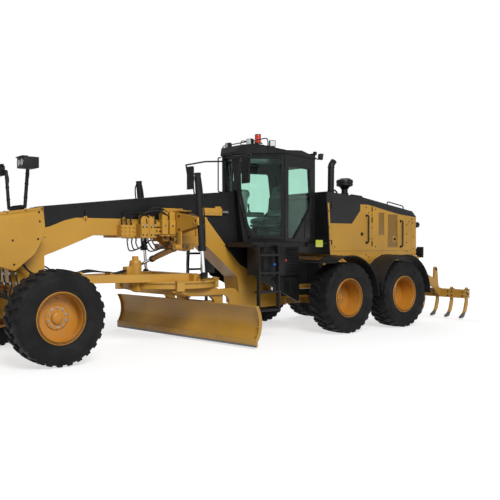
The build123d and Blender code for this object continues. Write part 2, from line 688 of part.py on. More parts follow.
def front_lamps():
    x = 4170
    pieces = [rod((x, -300, 2062), (x, 300, 2062), 24), box(x - 40, x + 40, -170, 170, 1980, 2062)]
    for s in (1, -1):
        pieces += [Pos(x, s * 300, 2062) * Sphere(24),
                   rod((x, s * 300, 2062), (x, s * 405, 2600), 24),
                   Pos(x, s * 405, 2600) * Sphere(24),
                   rod((x, s * 405, 2600), (x, s * 620, 2640), 20),
                   box(x - 20, x + 190, s * 620 - 115, s * 620 + 115, 2550, 2690)]
    return join(pieces) - slab_y(NOSE, -450, 450)


def cab_mirrors():
    pieces = []
    for s in (1, -1):
        arm = [rod((360, s * 165, 3000), (640, s * 330, 2990), 14), Pos(640, s * 330, 2990) * Sphere(14),
               rod((640, s * 330, 2990), (640, s * 900, 2985), 14), Pos(640, s * 900, 2985) * Sphere(14),
               rod((640, s * 900, 2985), (640, s * 850, 2800), 14),
               box(622, 655, s * 770 - 85, s * 770 + 85, 2535, 2945)]
        pieces.append(join(arm))
    shell = cab_block(0, 1580, CAB_TOP)
    return group(*[p - shell - cab_roof() for p in pieces])


def beacon():
    return join([Pos(-170, 150, 3275) * Cylinder(64, 110),
                 Pos(-170, 150, 3405) * Cylinder(54, 150)]) - cab_roof()


def main():
    nodes = {"rear_frame": rear_frame(), "engine_block": engine(),
             "tandem_cases": tandem_cases(), "tandem_fenders": fenders(), "hood": hood(),
             "exhaust_and_intake": exhaust_and_intake(), "ripper_frame": ripper(),
             "ripper_barrel": ripper_barrel(), "ripper_rod": ripper_rod(),
             "front_frame": front_frame(), "beam_cover": group(beam_cover(), hoses()),
             "nose_cover": nose_cover(), "blade_saddle": group(blade_saddle(), valve_bank()),
             "front_axle": front_axle(), "tie_rod": tie_rod(), "lean_bar": lean_bar(),
             "drawbar_cross": drawbar_cross(), "drawbar": drawbar(), "circle": circle(),
             "tip_carrier": tip_carrier(), "moldboard": moldboard(), "tip_barrel": tip_barrel(),
             "tip_rod": tip_rod(), "shift_barrel": shift_barrel(), "shift_rod": shift_rod(),
             "cab_shell": cab_shell(), "cab_glass": cab_glass(),
             "cab_interior": cab_interior(), "platform": platform(),
             "lamps_and_mirrors": group(front_lamps(), cab_mirrors(), beacon())}
    paired = {"lean_yoke": lean_yoke(), "knuckle": knuckle(), "lift_barrel": lift_barrel(),
              "lift_rod": lift_rod(), "swing_barrel": swing_barrel(), "swing_rod": swing_rod(),
              "cab_door": cab_door(),
              "hood_door_front": hood_door("front"), "hood_door_rear": hood_door("rear")}
    for place, (x, depth, hub_in) in wheel_places().items():
        spot = Pos(x, TRACK_HALF, AXLE_Z)
        paired["tyre_" + place] = spot * tyre()
        paired["rim_" + place] = spot * rim(depth, hub_in)
    for name, shape in paired.items():
        nodes[name + "_left"] = shape
        nodes[name + "_right"] = other_side(shape)
    os.makedirs("parts", exist_ok=True)
    for name, shape in nodes.items():
        export_step(shape, os.path.join("parts", name + ".step"))


main()
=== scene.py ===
"""Looks of the motor grader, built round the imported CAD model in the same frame, in metres."""
import json
import math

import bmesh
import bpy
from mathutils import Matrix, Vector


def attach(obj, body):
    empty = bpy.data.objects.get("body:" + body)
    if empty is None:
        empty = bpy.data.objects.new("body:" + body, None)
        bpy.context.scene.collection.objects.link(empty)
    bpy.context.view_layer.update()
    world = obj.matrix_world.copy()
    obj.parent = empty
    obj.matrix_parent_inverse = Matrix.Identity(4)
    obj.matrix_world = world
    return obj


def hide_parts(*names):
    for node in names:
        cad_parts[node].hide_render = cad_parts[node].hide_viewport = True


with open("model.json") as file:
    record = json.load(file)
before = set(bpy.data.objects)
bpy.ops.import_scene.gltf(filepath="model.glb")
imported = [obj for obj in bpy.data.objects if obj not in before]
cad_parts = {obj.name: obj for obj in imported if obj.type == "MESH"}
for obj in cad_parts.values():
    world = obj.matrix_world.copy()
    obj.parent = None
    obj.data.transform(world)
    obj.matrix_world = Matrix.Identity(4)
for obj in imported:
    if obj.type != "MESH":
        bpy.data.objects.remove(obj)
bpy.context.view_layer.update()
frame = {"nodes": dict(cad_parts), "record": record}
X, Y, UP = (1, 0, 0), (0, 1, 0), (0, 0, 1)
FLIP = Vector((1, -1, 1))
SIDES = (("left", 1), ("right", -1))


# Materials.

class Finish:
    """A Principled material whose colour, roughness and bump come from procedural nodes."""

    def __init__(self, name, rough, metallic=0.0, coat=0.0, specular=0.5):
        self.name, self.material = name, bpy.data.materials.new(name)
        self.material.use_nodes = True
        self.tree = self.material.node_tree
        self.shader = self.tree.nodes["Principled BSDF"]
        self.shader.inputs["Roughness"].default_value = rough
        self.shader.inputs["Metallic"].default_value = metallic
        self.shader.inputs["Coat Weight"].default_value = coat
        self.shader.inputs["Specular IOR Level"].default_value = specular
        self.place = self.tree.nodes.new("ShaderNodeTexCoord").outputs["Object"]

    def link(self, a, b):
        self.tree.links.new(a, b)

    def scaled(self, x, y, z):
        node = self.tree.nodes.new("ShaderNodeMapping")
        node.inputs["Scale"].default_value = (x, y, z)
        self.link(self.place, node.inputs["Vector"])
        return node.outputs["Vector"]

    def noise(self, scale, detail=3.0, place=None):
        node = self.tree.nodes.new("ShaderNodeTexNoise")
        node.inputs["Scale"].default_value = scale
        node.inputs["Detail"].default_value = detail
        self.link(place or self.place, node.inputs["Vector"])
        return node.outputs["Fac"]

    def cells(self, scale, place=None):
        node = self.tree.nodes.new("ShaderNodeTexVoronoi")
        node.inputs["Scale"].default_value = scale
        self.link(place or self.place, node.inputs["Vector"])
        return node.outputs["Distance"]

    def remap(self, value, a, b, low=0.0, high=1.0):
        node = self.tree.nodes.new("ShaderNodeMapRange")
        for key, v in (("From Min", a), ("From Max", b), ("To Min", low), ("To Max", high)):
            node.inputs[key].default_value = v
        self.link(value, node.inputs["Value"])
        return node.outputs["Result"]

    def maths(self, how, a, b):
        node = self.tree.nodes.new("ShaderNodeMath")
        node.operation = how
        for socket, value in zip(node.inputs, (a, b)):
            if isinstance(value, (int, float)):
                socket.default_value = value
            else:
                self.link(value, socket)
        return node.outputs[0]

    def times(self, a, b):
        return self.maths("MULTIPLY", a, b)

    def above(self, a, b):
        return self.maths("GREATER_THAN", a, b)

    def mix(self, factor, a, b):
        node = self.tree.nodes.new("ShaderNodeMix")
        node.data_type = "RGBA"
        if isinstance(factor, (int, float)):
            node.inputs["Factor"].default_value = factor
        else:
            self.link(factor, node.inputs["Factor"])
        for socket, value in ((node.inputs[6], a), (node.inputs[7], b)):
            if isinstance(value, tuple):
                socket.default_value = (*value, 1.0)
            else:
                self.link(value, socket)
        return node.outputs[2]

    def axis(self, name):
        node = self.tree.nodes.new("ShaderNodeSeparateXYZ")
        self.link(self.place, node.inputs[0])
        return node.outputs[name]

    def edges(self, radius):
        """1 at sharp edges and 0 on flat faces."""
        bevel = self.tree.nodes.new("ShaderNodeBevel")
        bevel.samples = 4
        bevel.inputs["Radius"].default_value = radius
        flat = self.tree.nodes.new("ShaderNodeNewGeometry")
        dot = self.tree.nodes.new("ShaderNodeVectorMath")
        dot.operation = "DOT_PRODUCT"
        self.link(bevel.outputs[0], dot.inputs[0])
        self.link(flat.outputs["Normal"], dot.inputs[1])
        return self.remap(dot.outputs["Value"], 0.98, 0.8)

    def colour(self, value):
        if isinstance(value, tuple):
            self.shader.inputs["Base Color"].default_value = (*value, 1.0)
        else:
            self.link(value, self.shader.inputs["Base Color"])

    def rough(self, value):
        self.link(value, self.shader.inputs["Roughness"])

    def bump(self, height, distance, strength=1.0, soft_edge=0.0):
        node = self.tree.nodes.new("ShaderNodeBump")
        node.inputs["Strength"].default_value = strength
        node.inputs["Distance"].default_value = distance
        self.link(height, node.inputs["Height"])
        if soft_edge:
            bevel = self.tree.nodes.new("ShaderNodeBevel")
            bevel.samples = 4
            bevel.inputs["Radius"].default_value = soft_edge
            self.link(bevel.outputs[0], node.inputs["Normal"])
        self.link(node.outputs[0], self.shader.inputs["Normal"])


YELLOW = (0.565, 0.3, 0.04)
BLACK = (0.0095, 0.0098, 0.0105)


def paint(name, base, rough=0.36, dust=(0.3, 0.235, 0.15), worn=(0.2, 0.17, 0.14), shade=0.84, coat=0.2,
        specular=0.4):
    f = Finish(name, rough, coat=coat, specular=specular)
    f.shader.inputs["Coat Roughness"].default_value = 0.18
    tint = f.mix(f.remap(f.noise(1.3, 4), 0.35, 0.68), tuple(c * shade for c in base), base)
    low = f.remap(f.axis("Z"), 1.2, 0.1)
    grit = f.times(f.remap(f.noise(9, 8), 0.5, 0.8), low)
    tint = f.mix(f.times(grit, 0.35), tint, dust)
    edge = f.times(f.edges(0.004), f.remap(f.noise(30, 5), 0.52, 0.62))
    f.colour(f.mix(f.times(edge, 0.5), tint, worn))
    f.rough(f.remap(f.noise(5, 6), 0.3, 0.7, rough - 0.06, rough + 0.1))
    f.bump(f.noise(160, 2), 0.0004, 0.25, soft_edge=0.005)
    return f


def hood_paint():
    """Yellow sides, with the top and one field on each side in black."""
    f = paint("hood_paint", YELLOW)
    yellow = f.shader.inputs["Base Color"].links[0].from_socket
    x, z = f.axis("X"), f.axis("Z")
    line = f.maths("ADD", f.remap(x, -2.55, -3.465, 2.3, 2.144),
        f.remap(x, -3.465, -4.022, 0.0, -0.047))
    top = f.above(z, line)
    nose = f.remap(z, 1.37, 2.505, -1.48, -1.395)
    field = f.times(f.above(z, 1.93), f.above(x, f.remap(z, 1.936, 2.179, -2.083, -2.314)))
    field = f.times(field, f.maths("LESS_THAN", x, f.maths("SUBTRACT", nose, 0.052)))
    front = f.above(x, f.maths("SUBTRACT", nose, 0.012))
    mask = f.maths("MAXIMUM", f.maths("MAXIMUM", top, field), front)
    f.colour(f.mix(mask, yellow, BLACK))
    return f


def rear_paint():
    """Yellow frame with its front end, between the tyres and the hitch, in black."""
    f = paint("rear_paint", YELLOW)
    yellow = f.shader.inputs["Base Color"].links[0].from_socket
    front = f.times(f.above(f.axis("X"), -1.52), f.above(f.axis("Z"), 0.6))
    f.colour(f.mix(front, yellow, BLACK))
    return f


def perforated(name, base, hole, pitch=0.012, axes=("X", "Z")):
    """Sheet with rows of round holes."""
    f = paint(name, base)
    tone = f.shader.inputs["Base Color"].links[0].from_socket
    squares = None
    for axis in axes:
        part = f.maths("SUBTRACT", f.maths("FRACT", f.times(f.axis(axis), 1 / pitch), 0), 0.5)
        part = f.times(part, part)
        squares = part if squares is None else f.maths("ADD", squares, part)
    dots = f.remap(squares, 0.115, 0.095)
    f.colour(f.mix(dots, tone, hole))
    f.bump(f.remap(squares, 0.09, 0.13), 0.002, 0.6)
    return f


def lens(name, base, glow=0.0):
    f = Finish(name, 0.12, specular=0.6, coat=0.5)
    ribs = f.cells(90)
    f.colour(f.mix(f.remap(ribs, 0.1, 0.6), tuple(c * 0.6 for c in base), base))
    f.rough(f.remap(f.noise(20, 3), 0.3, 0.7, 0.08, 0.2))
    f.bump(ribs, 0.0012, 0.5)
    if glow:
        f.shader.inputs["Emission Color"].default_value = (*base, 1.0)
        f.shader.inputs["Emission Strength"].default_value = glow
    return f


def rubber():
    f = Finish("tyre_rubber", 0.72, specular=0.18)
    dark, light = (0.0085, 0.0085, 0.009), (0.019, 0.0185, 0.018)
    f.colour(f.mix(f.remap(f.noise(4, 6), 0.4, 0.75), dark, light))
    f.rough(f.remap(f.noise(7, 5), 0.3, 0.7, 0.58, 0.8))
    f.bump(f.noise(220, 3), 0.0006, 0.4)
    return f


def plastic(name, base, rough, grain=400, specular=0.4):
    f = Finish(name, rough, specular=specular)
    f.colour(f.mix(f.remap(f.noise(3, 4), 0.4, 0.7), base, tuple(c * 1.5 + 0.002 for c in base)))
    f.rough(f.remap(f.noise(6, 4), 0.3, 0.7, rough - 0.05, rough + 0.08))
    f.bump(f.cells(grain), 0.0004, 0.35, soft_edge=0.004)
    return f


def metal(name, base, rough, stretch=(1, 1, 1), scale=60, dark=0.6):
    f = Finish(name, rough, metallic=1.0)
    streaks = f.noise(scale, 4, f.scaled(*stretch))
    f.colour(f.mix(f.remap(streaks, 0.3, 0.7), tuple(c * dark for c in base), base))
    f.rough(f.remap(streaks, 0.3, 0.7, rough * 0.8, rough * 1.4))
    f.bump(streaks, 0.0003, 0.2, soft_edge=0.002)
    return f


def cast(name, base):
    f = Finish(name, 0.55, metallic=0.3)
    f.colour(f.mix(f.remap(f.noise(5, 6), 0.35, 0.7), tuple(c * 0.6 for c in base), base))
    f.rough(f.remap(f.noise(12, 5), 0.3, 0.7, 0.45, 0.7))
    f.bump(f.noise(90, 5), 0.001, 0.4, soft_edge=0.004)
    return f


def glass():
    f = Finish("tinted_glass", 0.0)
    f.shader.inputs["Transmission Weight"].default_value = 1.0
    f.shader.inputs["IOR"].default_value = 1.35
    f.shader.inputs["Base Color"].default_value = (0.62, 0.86, 0.76, 1.0)
    f.rough(f.remap(f.noise(2.0, 3), 0.4, 0.8, 0.0, 0.02))
    return f


def fabric():
    f = Finish("interior_fabric", 0.85, specular=0.2)
    f.shader.inputs["Sheen Weight"].default_value = 0.3
    weave = f.times(f.remap(f.noise(500, 1, f.scaled(1, 0.2, 1)), 0.4, 0.6),
        f.remap(f.noise(500, 1, f.scaled(0.2, 1, 1)), 0.4, 0.6))
    f.colour(f.mix(weave, (0.03, 0.032, 0.035), (0.085, 0.09, 0.095)))
    f.bump(weave, 0.001, 0.5)
    return f


FINISHES = {f.name: f.material for f in (
    paint("yellow_paint", YELLOW),
    paint("black_paint", BLACK, 0.42, (0.05, 0.045, 0.04), (0.1, 0.1, 0.1), 0.7, 0.08, 0.25),
    paint("cab_black", BLACK, 0.34, (0.05, 0.045, 0.04), (0.09, 0.09, 0.09), 0.75, 0.1, 0.25),
    plastic("black_plastic", (0.008, 0.008, 0.009), 0.55, specular=0.25),
    cast("engine_iron", (0.22, 0.21, 0.2)),
    glass(),
    fabric(),
    metal("steel", (0.42, 0.41, 0.4), 0.38),
    metal("chrome_rod", (0.75, 0.76, 0.78), 0.12, (1, 1, 12), 40, 0.85),
    rubber(),
    metal("zinc", (0.52, 0.56, 0.6), 0.3),
    paint("rim_paint", (0.58, 0.245, 0.022), 0.38),
    plastic("fender_black", (0.0115, 0.0115, 0.012), 0.5, 300, 0.3),
    # The grille's yellow is the hood's paint made darker, about 0.6 times: painted shade. The dark dots
    # are its holes.
    perforated("perforated", (0.34, 0.178, 0.026), (0.07, 0.04, 0.01)),
    perforated("perforated_black", (0.02, 0.02, 0.021), (0.002, 0.002, 0.002), 0.016, ("Y", "Z")),
    lens("lamp_lens", (0.8, 0.82, 0.84)),
    lens("red_lens", (0.45, 0.012, 0.01)),
    lens("beacon_red", (0.86, 0.045, 0.01), 0.25),
    # marker_green glows faintly (0.1): painted light, as the side reflectors it colours are no lamps.
    lens("marker_green", (0.5, 0.56, 0.04), 0.1),
    plastic("cap_yellow", (0.75, 0.42, 0.04), 0.4),
    plastic("cap_blue", (0.02, 0.13, 0.55), 0.4),
    plastic("cap_red", (0.62, 0.03, 0.025), 0.4),
    metal("mirror", (0.8, 0.82, 0.84), 0.05, dark=0.95),
    metal("worn_steel", (0.2, 0.21, 0.23), 0.42, (1, 1, 6), 30, 0.55),
    plastic("console_grey", (0.165, 0.19, 0.18), 0.6, 350),
    plastic("interior_plastic", (0.075, 0.085, 0.085), 0.6, 350),
    lens("screen_glass", (0.02, 0.03, 0.035)),
    hood_paint(),
    rear_paint())}

# CAD nodes get their finish from the record's slots, apart from these.

OWN_FINISH = {"hood": "hood_paint", "rim_": "rim_paint", "tandem_fenders": "fender_black",
    "rear_frame": "rear_paint"}
for entry in frame["record"]["subparts"]:
    node = frame["nodes"][entry["node"]]
    look = entry["material_slot"]
    for start, other in OWN_FINISH.items():
        if entry["node"].startswith(start):
            look = other
    node.data.materials.clear()
    node.data.materials.append(FINISHES[look])


# Mesh code.

def around(count, shift=0.0):
    """Angles evenly spaced round a circle."""
    return [2 * math.pi * (k + shift) / count for k in range(count)]


def turn_to(axis):
    """A rotation that takes +Z to this axis."""
    return Vector(axis).to_track_quat("Z", "Y").to_matrix().to_4x4()


class Shape:
    """Collects the mesh of one piece in metres, and starts anew once the piece is made."""

    def __init__(self):
        self.bm = bmesh.new()

    def place(self, made, matrix):
        bmesh.ops.transform(self.bm, matrix=matrix, verts=made)

    def soften(self, verts, width, steps=2, sharper=35):
        edges = {e for v in verts for e in v.link_edges}
        edges = [e for e in edges if len(e.link_faces) == 2
            and e.calc_face_angle(0) > math.radians(sharper)]
        bmesh.ops.bevel(self.bm, geom=edges, offset=width, segments=steps, profile=0.6, affect="EDGES",
            clamp_overlap=True)

    def box(self, lo, hi, soft=0.004, matrix=None):
        size = Vector(hi) - Vector(lo)
        centre = (Vector(hi) + Vector(lo)) / 2
        made = bmesh.ops.create_cube(self.bm, size=1)["verts"]
        self.place(made, Matrix.Translation(centre) @ Matrix.Diagonal((*size, 1)))
        if matrix:
            self.place(made, matrix)
        if soft:
            self.soften(made, soft)

    def slab(self, outline, thick, matrix=None, soft=0.003):
        """A flat outline in x and y, raised by thick along z, then placed."""
        low = [self.bm.verts.new((x, y, 0)) for x, y in outline]
        high = [self.bm.verts.new((x, y, thick)) for x, y in outline]
        n = len(outline)
        self.bm.faces.new(low[::-1])
        self.bm.faces.new(high)
        for i in range(n):
            self.bm.faces.new((low[i], low[(i + 1) % n], high[(i + 1) % n], high[i]))
        made = low + high
        if matrix:
            self.place(made, matrix)
        if soft:
            self.soften(made, soft)

    def side(self, outline, y0, y1, soft=0.003):
        """An outline in x and z, from y0 to y1."""
        turn = Matrix(((1, 0, 0, 0), (0, 0, 1, y0), (0, 1, 0, 0), (0, 0, 0, 1)))
        self.slab(outline, y1 - y0, turn, soft)

    def lathe(self, profile, origin, axis, steps=32):
        """A profile of (radius, height) turned about an axis."""
        rings = []
        for a in around(steps):
            rings.append([self.bm.verts.new((r * math.cos(a), r * math.sin(a), h)) for r, h in profile])
        for k in range(steps):
            one, two = rings[k], rings[(k + 1) % steps]
            for i in range(len(profile) - 1):
                self.bm.faces.new((one[i], two[i], two[i + 1], one[i + 1]))
        made = [v for ring in rings for v in ring]
        bmesh.ops.remove_doubles(self.bm, verts=made, dist=1e-6)
        made = [v for v in made if v.is_valid]
        self.place(made, Matrix.Translation(origin) @ turn_to(axis))

    def bar(self, a, b, r, steps=16, soft=0.002):
        a, b = Vector(a), Vector(b)
        length = (b - a).length
        soft = min(soft, r * 0.4, length * 0.4)
        profile = [(0, 0), (r - soft, 0), (r, soft), (r, length - soft), (r - soft, length),
            (0, length)]
        self.lathe(profile, a, b - a, steps)

    def ring(self, centre, axis, outer, inner, thick, steps=32, soft=0.002):
        s = min(soft, (outer - inner) * 0.3, thick * 0.3)
        profile = [(inner, 0), (outer - s, 0), (outer, s), (outer, thick - s), (outer - s, thick),
            (inner, thick), (inner, 0)]
        self.lathe(profile, centre, axis, steps)

    def pipe(self, points, r, steps=10, smooth=6, closed=False):
        """A round tube whose line passes smoothly through the points."""
        line = rounded(points, smooth, closed)
        rings, ahead = [], None
        for i, p in enumerate(line):
            prev = line[i - 1] if i or closed else p
            after = line[(i + 1) % len(line)] if i + 1 < len(line) or closed else p
            way = (after - prev).normalized()
            if ahead is None:
                ahead = way.orthogonal().normalized()
            ahead = (ahead - way * ahead.dot(way)).normalized()
            side = way.cross(ahead)
            rings.append([self.bm.verts.new(p + (ahead * math.cos(t) + side * math.sin(t)) * r)
                for t in around(steps)])
        pairs = list(zip(rings, rings[1:])) + ([(rings[-1], rings[0])] if closed else [])
        for one, two in pairs:
            for k in range(steps):
                self.bm.faces.new((one[k], one[(k + 1) % steps], two[(k + 1) % steps], two[k]))
        if not closed:
            self.bm.faces.new(rings[0][::-1])
            self.bm.faces.new(rings[-1])

    def bolt(self, place, axis, r, high=None):
        high = high or r * 0.8
        matrix = Matrix.Translation(place) @ turn_to(axis)
        flange = [(r * 1.25 * math.cos(a), r * 1.25 * math.sin(a)) for a in around(12)]
        self.slab(flange, high * 0.25, matrix, 0)
        head = [(r * math.cos(a), r * math.sin(a)) for a in around(6)]
        self.slab(head, high, matrix, r * 0.12)

    def piece(self, name, body="front", look="yellow_paint", smooth=32, replaces=()):
        bm, self.bm = self.bm, bmesh.new()
        bmesh.ops.recalc_face_normals(bm, faces=bm.faces)
        me = bpy.data.meshes.new(name)
        bm.to_mesh(me)
        bm.free()
        me.polygons.foreach_set("use_smooth", [True] * len(me.polygons))
        me.set_sharp_from_angle(angle=math.radians(smooth))
        obj = bpy.data.objects.new(name, me)
        bpy.context.scene.collection.objects.link(obj)
        me.materials.append(FINISHES[look])
        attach(obj, body)
        if replaces:
            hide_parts(*replaces)

    def pair(self, name, body="front", look="yellow_paint"):
        """The piece, modelled on the left, and its mirror image on the right."""
        other = self.bm.copy()
        self.piece(f"{name}_left", body.format("left"), look)
        for v in other.verts:
            v.co.y = -v.co.y
        self.bm.free()
        self.bm = other
        self.piece(f"{name}_right", body.format("right"), look)


add = Shape()


def rounded(points, steps, closed=False):
    """Points on a smooth line through the given ones."""
    pts = [Vector(p) for p in points]
    if len(pts) < 3 or steps < 2:
        return pts
    n = len(pts)
    found = []
    for i in range(n if closed else n - 1):
        p1, p2 = pts[i], pts[(i + 1) % n]
        p0 = pts[i - 1] if i or closed else p1
        p3 = pts[(i + 2) % n] if closed or i + 2 < n else p2
        for k in range(steps):
            t = k / steps
            found.append(0.5 * (2 * p1 + (p2 - p0) * t + (2 * p0 - 5 * p1 + 4 * p2 - p3) * t * t
                + (3 * p1 - p0 - 3 * p2 + p3) * t ** 3))
    return found if closed else found + [pts[-1]]


def bend(before, corner, after, radius, steps):
    """Points of the round bend between two straight runs."""
    one, two = before - corner, after - corner
    r = min(radius, one.length * 0.45, two.length * 0.45)
    a, b = corner + one.normalized() * r, corner + two.normalized() * r
    parts = [k / steps for k in range(steps + 1)]
    return [a.lerp(corner, t).lerp(corner.lerp(b, t), t) for t in parts]


def bent(points, radius, steps=5):
    """Straight runs joined by round bends."""
    pts = [Vector(p) for p in points]
    runs = zip(pts, pts[1:], pts[2:])
    return [pts[0]] + [p for run in runs for p in bend(*run, radius, steps)] + [pts[-1]]


def closed_bend(points, radius, steps=5):
    """A closed line with round corners."""
    pts = [Vector(p) for p in points]
    runs = zip(pts[-1:] + pts[:-1], pts, pts[1:] + pts[:1])
    return [p for run in runs for p in bend(*run, radius, steps)]


def arc(centre, radius, a0, a1, steps=7):
    """Points of an arc in x and z, angles in degrees."""
    found = []
    for k in range(steps + 1):
        a = math.radians(a0 + (a1 - a0) * k / steps)
        found.append((centre[0] + radius * math.cos(a), centre[1] + radius * math.sin(a)))
    return found


# Wheels.

# Each wheel's x, and how far out of the track its hub's face stands.
WHEELS = {"front": (4.088, 0.046), "tandem_front": (-1.2735, -0.096), "tandem_rear": (-2.7965, -0.096)}
AXLE_HIGH, TRACK = 0.62, 1.1
# Half of a tyre's section, as radius and half width.
CARCASS = [(0.313, 0.172), (0.3375, 0.1735), (0.339, 0.184), (0.352, 0.188), (0.36, 0.188),
    (0.366, 0.192), (0.372, 0.192), (0.379, 0.196), (0.4, 0.206), (0.44, 0.2165),
    (0.472, 0.2205), (0.476, 0.2235), (0.49, 0.2235), (0.494, 0.221), (0.53, 0.2195), (0.548, 0.217),
    (0.552, 0.2195), (0.56, 0.2195), (0.564, 0.215), (0.582, 0.205), (0.592, 0.185), (0.595, 0.12),
    (0.596, 0.0)]


def tyre(place, name, side):
    """The carcass with a row of lugs on each half, the second row half a step later."""
    profile = CARCASS + [(r, -y) for r, y in reversed(CARCASS[:-1])] + CARCASS[:1]
    add.lathe(profile, (0, 0, 0), Y, 90)
    low = [(-0.004, 0.2155, 0.562), (0.082, 0.2155, 0.562), (0.104, 0.1, 0.588), (0.144, -0.014, 0.588),
        (0.088, -0.014, 0.588), (0.026, 0.1, 0.588)]
    high = [(0.004, 0.2, 0.611), (0.073, 0.2, 0.611), (0.094, 0.1, 0.618), (0.13, -0.005, 0.62),
        (0.098, -0.005, 0.62), (0.036, 0.1, 0.618)]
    for half_side, shift in ((1, 0.0), (-1, 0.5)):
        for start in around(27, shift):
            rings = []
            for ring in (low, high):
                rings.append([add.bm.verts.new((r * math.sin(start + t / 0.6), y * half_side,
                    r * math.cos(start + t / 0.6))) for t, y, r in ring])
            faces = [rings[1]] + [[rings[0][i], rings[0][(i + 1) % 6], rings[1][(i + 1) % 6],
                rings[1][i]] for i in range(6)]
            for face in faces:
                add.bm.faces.new(face)
            top = [e for e in add.bm.edges if e.verts[0] in rings[1] and e.verts[1] in rings[1]]
            bmesh.ops.bevel(add.bm, geom=top, offset=0.004, segments=1, affect="EDGES")
    add.place(add.bm.verts[:], Matrix.Translation((WHEELS[place][0], TRACK, AXLE_HIGH)))
    if side < 0:
        for v in add.bm.verts:
            v.co.y = -v.co.y
    add.piece(f"tread_{place}_{name}", f"wheel_{place}_{name}", "tyre_rubber", smooth=28,
        replaces=[f"tyre_{place}_{name}"])


def wheel_trim(place, name, side):
    """Bolts and lips on the rim, with thin black rings as painted shade in the grooves at the lips."""
    body = f"wheel_{place}_{name}"
    x, face = WHEELS[place]
    out = Vector((0, side, 0))
    hub = Vector((x, side * (TRACK + face), AXLE_HIGH))
    for a in around(10, 0.5):
        spot = hub + Vector((math.cos(a), 0, math.sin(a))) * 0.126
        add.bolt(spot, out, 0.0135, 0.02)
        add.bar(spot, spot + out * 0.032, 0.007, 10)
    add.piece(f"wheel_bolts_{place}_{name}", body, "zinc")
    # Thin black rings at the lips: painted shade in the grooves between them, not real seams.
    for y, r in ((0.1915, 0.3195), (0.19, 0.3045)):
        add.lathe([(r - 0.0035, 0.0), (r, 0.0022), (r + 0.0035, 0.0), (r - 0.0035, 0.0)],
            (x, side * (TRACK + y), AXLE_HIGH), out, 72)
    add.piece(f"rim_groove_shade_{place}_{name}", body, "black_plastic")
    for y, r in ((0.188, 0.328), (0.189, 0.311), (0.166, 0.2965)):
        add.lathe([(r - 0.006, -0.004), (r, 0.0055), (r + 0.005, 0.0), (r + 0.004, -0.008),
            (r - 0.006, -0.004)], (x, side * (TRACK + y), AXLE_HIGH), out, 72)
    add.lathe([(0, 0.012), (0.045, 0.01), (0.06, 0.004), (0.066, -0.004)], hub + out * 0.031, out, 40)
    stem = hub + Vector((0, side * 0.02, 0.25))
    add.bar(stem - out * 0.03, stem + out * 0.035, 0.007, 10)
    add.piece(f"rim_lips_{place}_{name}", body, "rim_paint")


def wheels():
    for place in WHEELS:
        for name, side in SIDES:
            tyre(place, name, side)
            wheel_trim(place, name, side)


# Hood and rear frame.

# The hood's side wall in y.
HOOD_SIDE = 0.64


def grip(x, z0, z1, y=HOOD_SIDE, out=0.058, r=0.0135):
    """An upright bar handle on a wall that faces +Y."""
    add.pipe(bent([(x, y - 0.003, z0), (x, y + out, z0), (x, y + out, z1), (x, y - 0.003, z1)], 0.045,
        5), r, 12, 1)
    for z in (z0, z1):
        add.bar((x, y - 0.001, z), (x, y + 0.009, z), r * 1.9, 18)


def frame_of(lo, hi, wide=0.014, deep=0.006):
    """A raised rectangular rim on a wall that faces +Y."""
    (x0, z0), (x1, z1), y = lo, hi, HOOD_SIDE
    for a, b in (((x0, z0), (x1, z0 + wide)), ((x0, z1 - wide), (x1, z1)),
            ((x0, z0 + wide), (x0 + wide, z1 - wide)), ((x1 - wide, z0 + wide), (x1, z1 - wide))):
        add.box((a[0], y - 0.001, a[1]), (b[0], y + deep, b[1]), 0.0015)


def latch(x, z, r=0.034):
    """A round turn latch on the hood's side."""
    add.ring((x, 0.639, z), Y, r, r * 0.72, 0.01, 24)
    add.bar((x, 0.6385, z), (x, 0.644, z), r * 0.72, 24)
    add.box((x - 0.01, 0.641, z - r * 0.62), (x + 0.01, 0.655, z + r * 0.62), 0.004)


DOOR_BOLTS = {
    "front": [(-2.481, 2.248), (-2.551, 2.147), (-2.575, 1.96), (-2.575, 1.65), (-1.6, 2.2), (-1.6, 1.5)],
    "rear": [(-3.729, 1.937), (-3.73, 1.751), (-3.731, 1.579), (-3.798, 2.001), (-2.76, 2.22),
        (-2.76, 1.5)]}
HOOD_BOLTS = [(-2.652, 2.11), (-2.652, 1.966), (-2.652, 1.867), (-2.652, 1.65), (-3.732, 1.395),
    (-3.91, 2.051), (-3.93, 1.976), (-3.95, 1.7), (-3.95, 1.46), (-1.462, 1.857), (-1.486, 1.614),
    (-1.445, 2.15)]
SKIRT = [(-2.2, 1.262), (-2.3, 1.371), (-4.038, 1.371), (-4.038, 1.3), (-3.4, 1.27), (-2.9, 1.25),
    (-2.5, 1.14), (-2.035, 1.1), (-1.75, 1.2), (-1.62, 1.262)]


